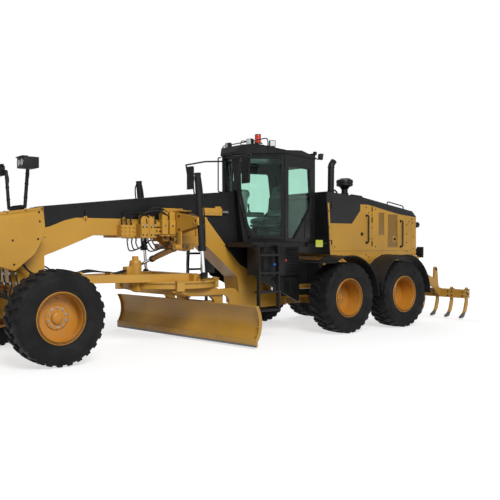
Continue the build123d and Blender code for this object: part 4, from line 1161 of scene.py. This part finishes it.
NOSE = [(3.972, 2.058), (4.9, 1.915), (5.02, 1.8), (5.02, 1.25), (4.93, 1.215), (4.571, 1.255),
    (4.366, 1.197), (4.098, 1.414), (4.028, 1.534), (3.945, 1.784)]


def nose_shell():
    """The nose cover with the slope between its top and its sides."""
    add.side(NOSE, -0.45, 0.45, 0)
    slope = [e for e in add.bm.edges if min(v.co.z for v in e.verts) > 1.79
        and abs(e.verts[0].co.y - e.verts[1].co.y) < 0.1 and e.verts[0].co.x + e.verts[1].co.x > 8.0]
    bmesh.ops.bevel(add.bm, geom=slope, offset=0.085, segments=1, affect="EDGES")
    add.box((5.01, -0.42, 1.26), (5.065, 0.42, 1.76), 0.006)
    for y in (-0.3, 0.3):
        for z in (1.36, 1.66):
            add.ring((5.0645, y, z), X, 0.026, 0.013, 0.0035, 24, 0.001)
    add.piece("nose_shell", replaces=["nose_cover"])


def nose_details():
    for x, z in ((4.03, 1.985), (4.02, 1.86), (4.045, 1.62), (4.4, 1.6), (4.75, 1.72), (4.95, 1.55),
            (4.38, 1.28), (4.86, 1.3)):
        add.bolt((x, 0.4498, z), Y, 0.012, 0.009)
    for x in (4.2, 4.45, 4.7, 4.86):
        z = 2.058 - 0.143 * (x - 3.972) / 0.928
        add.bolt((x, 0.41, z - 0.0005), (0.152, 0, 0.988), 0.012, 0.009)
    add.pair("nose_bolts", "front", "black_plastic")
    line = [(4.1, 1.415), (4.03, 1.534), (3.947, 1.784), (3.974, 2.056)]
    add.pipe([Vector((x + 0.002, 0.4475, z)) for x, z in line], 0.006, 8, 1)
    line = [(3.975, 2.055), (4.9, 1.912), (5.017, 1.799)]
    add.pipe([Vector((x, 0.446, z)) for x, z in line], 0.0055, 8, 1)
    add.pair("nose_edge")
    add.box((3.955, 0.3, 1.62), (4.03, 0.43, 1.7), 0.008)
    add.bar((3.9, 0.36, 1.66), (3.97, 0.36, 1.66), 0.022, 18)
    add.pair("nose_lugs")
    for k in range(3):
        x = 4.28 + 0.085 * k
        add.pipe([(x, 0.22, 1.24), (x - 0.01, 0.225, 1.12), (x - 0.03, 0.235, 0.98),
            (x - 0.02, 0.2, 0.86), (4.2, 0.16, 0.8 - 0.02 * k)], 0.012, 8, 6)
    add.pair("axle_hoses", "front", "black_plastic")
    for k in range(3):
        x = 4.28 + 0.085 * k
        for z, dx in ((1.17, -0.006), (1.04, -0.022)):
            add.bar((x + dx, 0.226, z), (x + dx, 0.229, z - 0.035), 0.0165, 12)
    add.pair("axle_hose_ends", "front", "zinc")
    add.ring((5.03, 0.36, 1.31), Y, 0.03, 0.018, 0.02, 24)
    add.pair("tow_eye")
    for y in (-0.36, -0.12, 0.12, 0.36):
        add.box((5.02, y - 0.02, 1.262), (5.062, y + 0.02, 1.758), 0.004)
    add.box((5.06, -0.4, 1.5), (5.0648, 0.4, 1.52), 0.001)
    add.piece("push_plate_ribs")


def lamp_posts():
    y0 = 0.62
    add.box((4.146, y0 - 0.1185, 2.5465), (4.3625, y0 + 0.1185, 2.6935), 0.016)
    add.box((4.3, y0 - 0.121, 2.686), (4.378, y0 + 0.121, 2.7), 0.004)
    add.bar((4.2, 0.5, 2.6), (4.2, 0.5, 2.71), 0.01, 12)
    add.box((4.175, 0.47, 2.69), (4.225, 0.53, 2.715), 0.005)
    add.pipe([(4.17, 0.36, 2.38), (4.145, 0.37, 2.46), (4.15, 0.4, 2.56), (4.165, 0.48, 2.6),
        (4.17, 0.52, 2.61)], 0.007, 8, 6)
    for z in (2.18, 2.36, 2.5):
        t = (z - 2.062) / 0.538
        add.ring((4.17, 0.3 + 0.105 * t, z), (0, 0.19, 0.98), 0.029, 0.023, 0.014, 18)
    add.pair("lamp_box", "front", "black_plastic")
    for y in (y0 - 0.055, y0 + 0.055):
        add.lathe([(0.0, 0.003), (0.03, 0.002), (0.046, -0.003)], (4.3625, y, 2.621), X, 28)
    add.pair("lamp_glass", "front", "lamp_lens")
    for y in (y0 - 0.055, y0 + 0.055):
        add.ring((4.3615, y, 2.621), X, 0.052, 0.045, 0.006, 28)
    add.pair("lamp_rings", "front", "zinc")
    add.box((4.125, -0.175, 2.03), (4.215, 0.175, 2.05), 0.004)
    for k in range(7):
        y = -0.15 + 0.05 * k
        add.ring((4.17, y, 2.062), Y, 0.031, 0.023, 0.018, 20)
    add.piece("lamp_post_foot", "front", "black_plastic")


# Saddle, valves, cylinders.

def saddle_details():
    for x0, x1 in ((2.06, 2.172), (2.208, 2.322)):
        add.box((x0, 0.296, 1.648), (x1, 0.318, 1.852), 0.006)
        add.box((x0 + 0.01, 0.255, 1.858), (x1 - 0.01, 0.275, 1.982), 0.006)
        add.bar(((x0 + x1) / 2, 0.2, 1.985), ((x0 + x1) / 2, 0.2, 2.02), 0.02, 18)
    for z in (1.69, 1.75, 1.81):
        for x in (2.44, 2.51, 2.58, 2.64):
            add.bar((x, 0.275, z), (x, 0.296, z), 0.018, 16)
    add.box((1.875, 0.15, 1.7), (2.045, 0.262, 1.8), 0.008)
    add.box((1.875, 0.15, 1.82), (2.045, 0.245, 1.9), 0.008)
    add.pair("valve_blocks")
    for x in (2.085, 2.148, 2.232, 2.298):
        for z in (1.69, 1.81):
            add.bolt((x, 0.317, z), Y, 0.011, 0.01)
    for x in (1.9, 1.96, 2.02):
        add.bolt((x, 0.261, 1.75), Y, 0.012, 0.012)
    add.bar((2.19, 0.16, 1.66), (2.19, 0.16, 1.98), 0.012, 10)
    for x in (2.46, 2.54, 2.62):
        add.bar((x, 0.23, 1.838), (x, 0.23, 1.868), 0.016, 14)
    add.pair("valve_plugs", "front", "black_plastic")
    for x0, x1 in ((1.705, 1.812), (1.842, 1.952)):
        add.box((x0, 0.262, 1.7), (x1, 0.326, 1.905), 0.008)
        add.box((x0 + 0.004, 0.255, 1.915), (x1 - 0.004, 0.318, 2.055), 0.008)
        add.box((x0 - 0.004, 0.2, 1.895), (x1 + 0.004, 0.322, 1.922), 0.004)
        add.bar(((x0 + x1) / 2, 0.286, 2.05), ((x0 + x1) / 2, 0.286, 2.085), 0.022, 18)
        add.box((x0 + 0.01, 0.199, 1.72), (x1 - 0.01, 0.266, 2.03), 0.006)
    add.box((1.7, 0.199, 1.672), (1.955, 0.3, 1.702), 0.005)
    add.pair("valve_pair")
    for x, y in ((2.116, 0.3175), (2.265, 0.3175), (1.758, 0.3255), (1.897, 0.3255)):
        add.box((x - 0.018, y, 1.82), (x + 0.018, y + 0.003, 1.85), 0.001)
    add.pair("valve_caps", "front", "zinc")
    for k, x in enumerate((2.46, 2.54, 2.62)):
        add.pipe([(x, 0.23, 1.868), (x, 0.235, 1.95), (x - 0.12, 0.26 + 0.02 * k, 2.03),
            (x - 0.3, 0.275, 2.01), (x - 0.4, 0.26, 1.93 + 0.01 * k), (x - 0.43, 0.255, 1.86)], 0.0105,
            8, 6)
    for k in range(3):
        x = 2.09 + 0.08 * k
        add.pipe([(x, 0.24, 1.645), (x - 0.01, 0.26, 1.56), (x - 0.09, 0.3, 1.48 - 0.02 * k),
            (1.9, 0.32, 1.535 - 0.01 * k), (1.8, 0.3, 1.605), (1.72, 0.27, 1.615),
            (1.68, 0.232, 1.625)], 0.0105, 8, 6)
    add.pair("valve_lines", "front", "black_plastic")
    for x in (2.09, 2.17, 2.25):
        add.bar((x, 0.24, 1.65), (x, 0.241, 1.6), 0.016, 12)
    add.pair("line_ends", "front", "zinc")
    for x, z in ((1.51, 1.66), (1.51, 1.78), (1.51, 1.9), (1.51, 2.02), (1.82, 1.66), (1.82, 2.06),
            (1.62, 1.64), (1.72, 1.64)):
        add.bolt((x, 0.1995, z), Y, 0.017, 0.014)
    for y in (0.26, 0.4):
        for z in (1.78, 1.99):
            add.bolt((1.6895, y, z), X, 0.016, 0.013)
    add.pair("saddle_bolts", "front", "black_plastic")
    add.box((1.535, 0.195, 1.6), (1.675, 0.235, 1.665), 0.006)
    add.side([(1.8, 1.64), (1.69, 1.575), (1.63, 1.5), (1.56, 1.448), (1.42, 1.432), (1.3, 1.462),
        (1.19, 1.53), (1.0, 1.6), (0.98, 1.66), (1.3, 1.68), (1.8, 1.68)], 0.151, 0.1985, 0.004)
    add.ring((1.43, 0.198, 1.52), Y, 0.052, 0.02, 0.01, 28)
    add.box((1.52, 0.22, 2.06), (1.69, 0.5, 2.078), 0.004)
    for x, way in ((1.5185, (-1, 0, 0)), (1.6905, X)):
        add.ring((x, 0.845, 1.9), way, 0.056, 0.0235, 0.014, 28)
    add.pair("saddle_ribs")
    for y in (-0.44, -0.33, -0.22, 0.22, 0.33, 0.44):
        add.ring((1.4885, y, 1.51), (-1, 0, 0), 0.032, 0.0205, 0.008, 22)
        add.ring((1.5605, y, 1.51), X, 0.032, 0.0205, 0.008, 22)
    add.piece("link_bar_bushes", "front", "steel")


def lift_cylinders():
    low, mid = Vector((1.535, 0.835, 1.07)), Vector((1.605, 0.845, 1.9))
    way = (mid - low).normalized()

    def at(d, x=0.0, y=0.0):
        """The point this far along the cylinder, moved sideways."""
        return low + way * d + Vector((x, y, 0))

    add.ring(at(0.378), way, 0.066, 0.033, 0.03, 32)
    add.ring(at(0.43), way, 0.064, 0.051, 0.025, 32)
    add.ring(at(1.545), way, 0.056, 0.051, 0.014, 28)
    add.lathe([(0.0, 0.0), (0.046, 0.0), (0.05, -0.004)], at(1.569), way, 28)
    add.box((-0.045, -0.055, -0.045), (0.045, 0.055, 0.045), 0.01,
        Matrix.Translation(at(0.838)) @ turn_to(way))
    add.pipe([at(0.47, -0.056, 0.01), at(0.9, -0.075, 0.01), at(1.3, -0.07), at(1.5, -0.052)], 0.01, 8, 5)
    add.pipe([at(1.18, 0.045), at(1.24, 0.082), at(1.42, 0.085), at(1.52, 0.046)], 0.011, 8, 6)
    add.box((-0.02, -0.02, -0.03), (0.02, 0.02, 0.03), 0.006,
        Matrix.Translation(at(1.17, 0.055)) @ turn_to(way))
    add.pair("lift_fittings", "lift_barrel_{}", "black_paint")
    add.lathe([(0.0, -0.05), (0.026, -0.048), (0.044, -0.038), (0.052, -0.02), (0.052, 0.01),
        (0.046, 0.024), (0.034, 0.03)], low, way, 32)
    for a in around(4, 0.5):
        add.bolt(low + Vector((0.046 * math.cos(a), 0.046 * math.sin(a), 0.016)), UP, 0.008, 0.01)
    add.pair("lift_socket", "lift_rod_{}", "black_paint")
    add.box((1.487, 0.716, 1.022), (1.583, 0.784, 1.04), 0.006)
    add.pair("lift_lug_pad", "drawbar")
    add.lathe([(0.05, 0.0), (0.06, 0.006), (0.062, 0.014), (0.046, 0.021), (0.056, 0.027),
        (0.055, 0.033), (0.04, 0.038), (0.047, 0.043), (0.046, 0.049), (0.034, 0.053), (0.0305, 0.058)],
        at(-0.006), way, 28)
    add.pair("lift_boot", "lift_rod_{}", "black_plastic")


# Drawbar, circle, blade.

# The circle's axis, and the blade's frame, which stands 7 degrees round it at rest.
CIRCLE = Matrix.Translation((1.64, 0, 0))
TURNED = CIRCLE @ Matrix.Rotation(math.radians(7), 4, "Z")


def drawbar_details():
    for side in (1, -1):
        add.slab([(1.52, side * 0.6), (2.29, side * 0.458), (3.35, side * 0.146), (3.35, side * 0.156),
            (2.29, side * 0.47), (1.52, side * 0.613)][::side], 0.012, Matrix.Translation((0, 0, 0.97)),
            0.003)
    add.lathe([(0.0, 1.362), (0.045, 1.362), (0.052, 1.352), (0.052, 1.3), (0.085, 1.292),
        (0.092, 1.28), (0.092, 1.236), (0.0, 1.236)], (2.25, 0, 0), UP, 36)
    for a in around(8):
        add.bolt((2.25 + 0.082 * math.cos(a), 0.082 * math.sin(a), 1.2345), UP, 0.009, 0.01)
    add.ring((2.25, 0, 1.015), UP, 0.15, 0.098, 0.03, 40)
    for a in around(10, 0.5):
        add.bolt((2.25 + 0.128 * math.cos(a), 0.128 * math.sin(a), 1.044), UP, 0.011, 0.011)
    add.box((2.33, -0.07, 1.06), (2.44, 0.07, 1.2), 0.012)
    add.piece("circle_drive", "drawbar")
    for a in (20, 70, 160, 200, 290, 340):
        m = CIRCLE @ Matrix.Rotation(math.radians(a), 4, "Z")
        add.box((0.77, -0.075, 0.984), (0.858, 0.075, 0.998), 0.004, m)
        for y in (-0.045, 0.045):
            add.bolt(m @ Vector((0.815, y, 0.997)), UP, 0.013, 0.012)
    for x, y, z in ((2.16, 0.24, 1.019), (2.36, 0.24, 1.019), (1.56, 0.66, 1.0895)):
        for s in (1, -1):
            add.bolt((x, s * y, z), UP, 0.014, 0.012)
    add.piece("circle_shoes", "drawbar")
    for k, y in enumerate((-0.055, 0.0, 0.055)):
        add.pipe([(3.48, y, 1.1), (3.3, y, 1.112), (3.05, y * 1.3, 1.16 - 0.01 * k),
            (2.8, y * 1.4, 1.125), (2.6, y * 1.5, 1.104), (2.47, y, 1.13), (2.42, y * 0.8, 1.15)],
            0.0115, 8, 7)
    add.piece("drawbar_hoses", "drawbar", "black_plastic")
    for x, z in ((3.22, 1.116), (2.72, 1.108)):
        add.box((x - 0.018, -0.09, z - 0.03), (x + 0.018, 0.09, z + 0.024), 0.006)
    add.bolt((3.22, 0.0, 1.138), UP, 0.011, 0.01)
    add.piece("hose_clips", "drawbar")
    for a in around(72):
        add.slab([(0.612, -0.009), (0.612, 0.009), (0.642, 0.019), (0.642, -0.019)], 0.07,
            TURNED @ Matrix.Rotation(a, 4, "Z") @ Matrix.Translation((0, 0, 0.878)), 0.0)
    add.piece("circle_teeth", "circle", "steel")
    for s in (1, -1):
        out = TURNED.to_3x3() @ Vector((0, s, 0))
        add.ring(TURNED @ Vector((-0.55, s * 0.609, 0.3)), out, 0.062, 0.026, 0.014, 28)
        for x, z in ((0.3, 0.845), (0.1, 0.8), (-0.3, 0.8)):
            add.bolt(TURNED @ Vector((x, s * 0.6095, z)), out, 0.014, 0.012)
    add.piece("circle_arm_bosses", "circle")
    for s in (1, -1):
        y0, y1 = sorted((s * 0.611, s * 0.652))
        add.side(CIRCLE_ARM, y0, y1, 0.008)
    add.place(add.bm.verts[:], TURNED)
    add.piece("circle_arms", "circle")


CIRCLE_ARM = ([(0.46, 0.822), (0.1, 0.745), (-0.52, 0.735)] + arc((-0.6, 0.56), 0.175, 75, 180)
    + [(-0.76, 0.44), (-0.64, 0.235)] + [(-0.7, 0.222)] + [(-0.9, 0.33), (-1.01, 0.48)]
    + arc((-0.81, 0.607), 0.225, 180, 90) + [(-0.42, 0.832), (-0.33, 0.866), (0.33, 0.866),
    (0.42, 0.834)])


def blade_arc(radius, z):
    """The x of the moldboard's arc at this height."""
    return 0.055 - (radius ** 2 - (z - 0.38) ** 2) ** 0.5


def blade_details():
    x0 = blade_arc(0.413, 0.125)
    plate = [(x0 + 0.0165, 0.062), (x0 + 0.0165, 0.155), (x0 + 0.026, 0.152), (x0 + 0.03, 0.062)]
    lip = [(x0 + 0.0165, 0.0305), (x0 + 0.0165, 0.061), (x0 + 0.03, 0.061), (x0 + 0.026, 0.031)]
    for name, outline, look, slot in (("edge_plates", plate, "yellow_paint", "yellow_paint"),
            ("cutting_edge", lip, "worn_steel", "steel")):
        for k in range(4):
            y = -1.7 + 0.85 * k
            add.side(outline, y + 0.001, y + 0.849, 0.002)
        add.place(add.bm.verts[:], TURNED)
        add.piece(name, "moldboard", look)
    for k in range(22):
        y = -1.62 + 3.24 * k / 21
        add.lathe([(0.0, 0.0), (0.013, -0.001), (0.016, -0.0055)],
            TURNED @ Vector((x0 + 0.0345, y, 0.105)), TURNED.to_3x3() @ Vector(X), 14)
    add.piece("edge_bolts", "moldboard")
    for s in (1, -1):
        face = [(blade_arc(0.411, z), z) for z in [0.125 + 0.51 * k / 10 for k in range(11)]]
        front = [(x + 0.034, z) for x, z in face]
        y0, y1 = sorted((s * 1.684, s * 1.6998))
        add.side(face + front[::-1], y0, y1, 0.003)
    for s in (1, -1):
        for z in (0.2, 0.33, 0.46, 0.58):
            x = blade_arc(0.411, z) + 0.03
            add.bolt((x, s * 1.672, z), X, 0.01, 0.008)
    add.place(add.bm.verts[:], TURNED)
    add.piece("blade_end_bits", "moldboard")
    zt = 0.635
    add.side([(blade_arc(0.435, zt) - 0.012, zt - 0.02), (blade_arc(0.413, zt) + 0.004, zt - 0.012),
        (blade_arc(0.413, zt) + 0.006, zt + 0.004), (blade_arc(0.435, zt) - 0.012, zt + 0.004)],
        -1.6995, 1.6995, 0.003)
    for y in (-1.45, -0.72, 0.72, 1.3):
        add.side([(blade_arc(0.434, 0.6), 0.6), (blade_arc(0.434, 0.48), 0.48),
            (blade_arc(0.434, 0.48) - 0.05, 0.5), (blade_arc(0.434, 0.6) - 0.03, 0.6)], y - 0.008,
            y + 0.008, 0.002)
    add.place(add.bm.verts[:], TURNED)
    add.piece("blade_top_edge", "moldboard")
    add.pipe([TURNED @ Vector(p) for p in ((-0.47, 0.52, 0.44), (-0.5, 0.56, 0.47), (-0.52, 0.5, 0.52),
        (-0.5, 0.3, 0.55), (-0.47, 0.12, 0.5), (-0.45, 0.1, 0.43))], 0.01, 8, 6)
    add.piece("side_shift_line", "tip_carrier", "black_plastic")
    for y0, y1 in ((-0.425, -0.385), (0.4, 0.437)):
        a, b = TURNED @ Vector((-0.43, y0, 0.38)), TURNED @ Vector((-0.43, y1, 0.38))
        add.ring(a, b - a, 0.042, 0.0345, (b - a).length, 26)
    add.piece("side_shift_glands", "tip_carrier")


def shift_details():
    a, b = Vector((1.75, 0.42, 1.5)), Vector((1.75, -0.72, 1.19))
    way = (b - a).normalized()
    for d in (0.06, 0.7, 0.735):
        add.ring(a + way * d, way, 0.053, 0.0455, 0.024, 28)
    add.pipe([a + way * 0.1 + Vector((0.05, 0, 0.012)), a + way * 0.3 + Vector((0.066, 0, 0.02)),
        a + way * 0.55 + Vector((0.066, 0, 0.02)), a + way * 0.7 + Vector((0.05, 0, 0.01))], 0.009, 8,
        5)
    add.piece("shift_fittings", "shift_barrel", "black_paint")


def swing_details():
    a, b = Vector((-1.5, 0.53, 0.79)), Vector((-0.3, 0.38, 0.79))
    way = (b - a).normalized()
    for d in (0.055, 0.655, 0.69):
        add.ring(a + way * d, way, 0.053, 0.0455, 0.024, 28)
    add.pair("swing_glands", "swing_barrel_{}")


# Front axle.

def axle_details():
    add.lathe([(0.0, 0.004), (0.03, 0.004), (0.036, 0.0), (0.036, -0.01)], (4.168, 0.7, 0.56), X, 24)
    for y, z in ((0.25, 0.93), (0.4, 0.83), (0.55, 0.73)):
        add.bolt((4.1675, y, z), X, 0.013, 0.011)
    add.pair("axle_pins", "front", "black_plastic")
    add.slab([(0.2, 0.985), (0.3, 0.925), (0.62, 0.7), (0.6, 0.68), (0.28, 0.86), (0.2, 0.9)], 0.012,
        Matrix(((0, 0, 1, 4.167), (1, 0, 0, 0), (0, 1, 0, 0), (0, 0, 0, 1))), 0.003)
    add.pair("axle_webs")
    for s in (1, -1):
        add.ring((3.808, s * 0.262, 0.497), (0, s, 0), 0.048, 0.0235, 0.038, 28)
        add.ring((4.208, s * 0.215, 0.84), (0, s, 0), 0.047, 0.0215, 0.035, 28)
    add.piece("axle_cylinder_glands", "front", "black_paint")


# Ripper.

def ripper_details():
    for i in range(8):
        y = (i - 3.5) * 0.34
        add.side([(-4.905, 0.118), (-4.858, 0.04), (-4.762, 0.0285), (-4.742, 0.03), (-4.752, 0.064),
            (-4.835, 0.112), (-4.872, 0.15)], y - 0.026, y + 0.026, 0.006)
        add.bar((-4.85, y - 0.032, 0.082), (-4.85, y + 0.032, 0.082), 0.009, 10)
    add.piece("ripper_tips", "ripper", "worn_steel")
    for i in range(8):
        y = (i - 3.5) * 0.34
        for z in (0.475, 0.555):
            add.bolt((-4.9045, y + 0.045, z), X, 0.013, 0.011)
            add.bolt((-4.9045, y - 0.045, z), X, 0.013, 0.011)
        add.box((-5.06, y - 0.034, 0.598), (-4.93, y + 0.034, 0.612), 0.003)
    for s in (1, -1):
        add.bolt((-4.985, s * 1.2095, 0.515), (0, s, 0), 0.022, 0.016)
        for x, z in ((-4.29, 0.9), (-4.755, 1.02)):
            add.lathe([(0.0, 0.01), (0.028, 0.01), (0.033, 0.005), (0.033, -0.004)], (x, s * 0.6255, z),
                (0, s, 0), 24)
    add.piece("ripper_pins", "ripper", "black_paint")
    add.box((-5.062, -1.2095, 0.59), (-4.908, 1.2095, 0.602), 0.003)
    add.box((-5.062, -1.2095, 0.4285), (-4.908, 1.2095, 0.44), 0.003)
    add.piece("ripper_beam_edges", "ripper")
    add.box((-4.18, -0.1, 0.96), (-4.166, 0.1, 1.04), 0.004)
    add.ring((-4.25, -0.03, 1.08), Y, 0.062, 0.046, 0.06, 28)
    add.piece("rear_tow_plate", "rear")


# Stage: floor, light, camera.

def stage():
    """A white floor and sky, which the camera sees brighter than they light the model."""
    me = bpy.data.meshes.new("floor")
    bm = bmesh.new()
    bmesh.ops.create_circle(bm, cap_ends=True, radius=90, segments=96)
    bm.to_mesh(me)
    bm.free()
    floor = bpy.data.objects.new("floor", me)
    bpy.context.scene.collection.objects.link(floor)
    f = Finish("floor", 0.9, specular=0.1)
    f.colour(f.mix(f.noise(0.4, 2), (0.44, 0.44, 0.44), (0.46, 0.46, 0.46)))
    rays = f.tree.nodes.new("ShaderNodeLightPath")
    seen = f.maths("MAXIMUM", rays.outputs["Is Camera Ray"], rays.outputs["Is Glossy Ray"])
    seen = f.maths("MAXIMUM", seen, rays.outputs["Is Transmission Ray"])
    away = f.tree.nodes.new("ShaderNodeVectorMath")
    away.operation = "LENGTH"
    f.link(f.place, away.inputs[0])
    glow = f.remap(away.outputs["Value"], 5.0, 13.0, 0.64, 1.0)
    f.link(f.times(seen, glow), f.shader.inputs["Emission Strength"])
    f.shader.inputs["Emission Color"].default_value = (1, 1, 1, 1)
    me.materials.append(f.material)
    world = bpy.data.worlds.new("sky")
    bpy.context.scene.world = world
    world.use_nodes = True
    tree = world.node_tree
    back = tree.nodes["Background"]
    path = tree.nodes.new("ShaderNodeLightPath")
    seen = tree.nodes.new("ShaderNodeMath")
    seen.operation = "MAXIMUM"
    tree.links.new(path.outputs["Is Camera Ray"], seen.inputs[0])
    tree.links.new(path.outputs["Is Transmission Ray"], seen.inputs[1])
    strength = tree.nodes.new("ShaderNodeMapRange")
    strength.inputs["To Min"].default_value = 0.3
    strength.inputs["To Max"].default_value = 1.0
    tree.links.new(seen.outputs[0], strength.inputs["Value"])
    tree.links.new(strength.outputs[0], back.inputs["Strength"])
    back.inputs["Color"].default_value = (1, 1, 1, 1)


def lamp(name, place, target, size, watts):
    light = bpy.data.lights.new(name, "AREA")
    light.shape = "RECTANGLE"
    light.size, light.size_y = size
    light.energy = watts
    thing = bpy.data.objects.new(name, light)
    thing.location = place
    thing.rotation_euler = (Vector(target) - Vector(place)).to_track_quat("-Z", "Y").to_euler()
    bpy.context.scene.collection.objects.link(thing)


def camera():
    """The camera that was fitted to the photograph."""
    cam = bpy.data.cameras.new("camera")
    cam.sensor_width = 36
    cam.lens = 48.2
    cam.shift_x = 0.1
    cam.clip_end = 500
    thing = bpy.data.objects.new("camera", cam)
    yaw, pitch = math.radians(-126.42), math.radians(-0.56)
    look = Vector((math.cos(yaw) * math.cos(pitch), math.sin(yaw) * math.cos(pitch), math.sin(pitch)))
    thing.location = (7.665, 9.05, 1.56)
    thing.rotation_euler = look.to_track_quat("-Z", "Y").to_euler()
    bpy.context.scene.collection.objects.link(thing)
    bpy.context.scene.camera = thing


wheels()
hood_doors()
hood_body()
stack_and_bowl()
fender_trim()
cab_seals()
door_glass()
cab_doors()
cab_outside()
mirrors()
cab_inside()
platform_details()
beam_details()
nose_shell()
nose_details()
lamp_posts()
saddle_details()
lift_cylinders()
drawbar_details()
blade_details()
shift_details()
swing_details()
axle_details()
ripper_details()
stage()
lamp("key", (6, 15, 12), (0, 0, 1), (8, 8), 2900)
lamp("rim", (-8, -8, 10), (0, 0, 1), (8, 6), 700)
camera()
bpy.context.scene.view_settings.view_transform = "Standard"
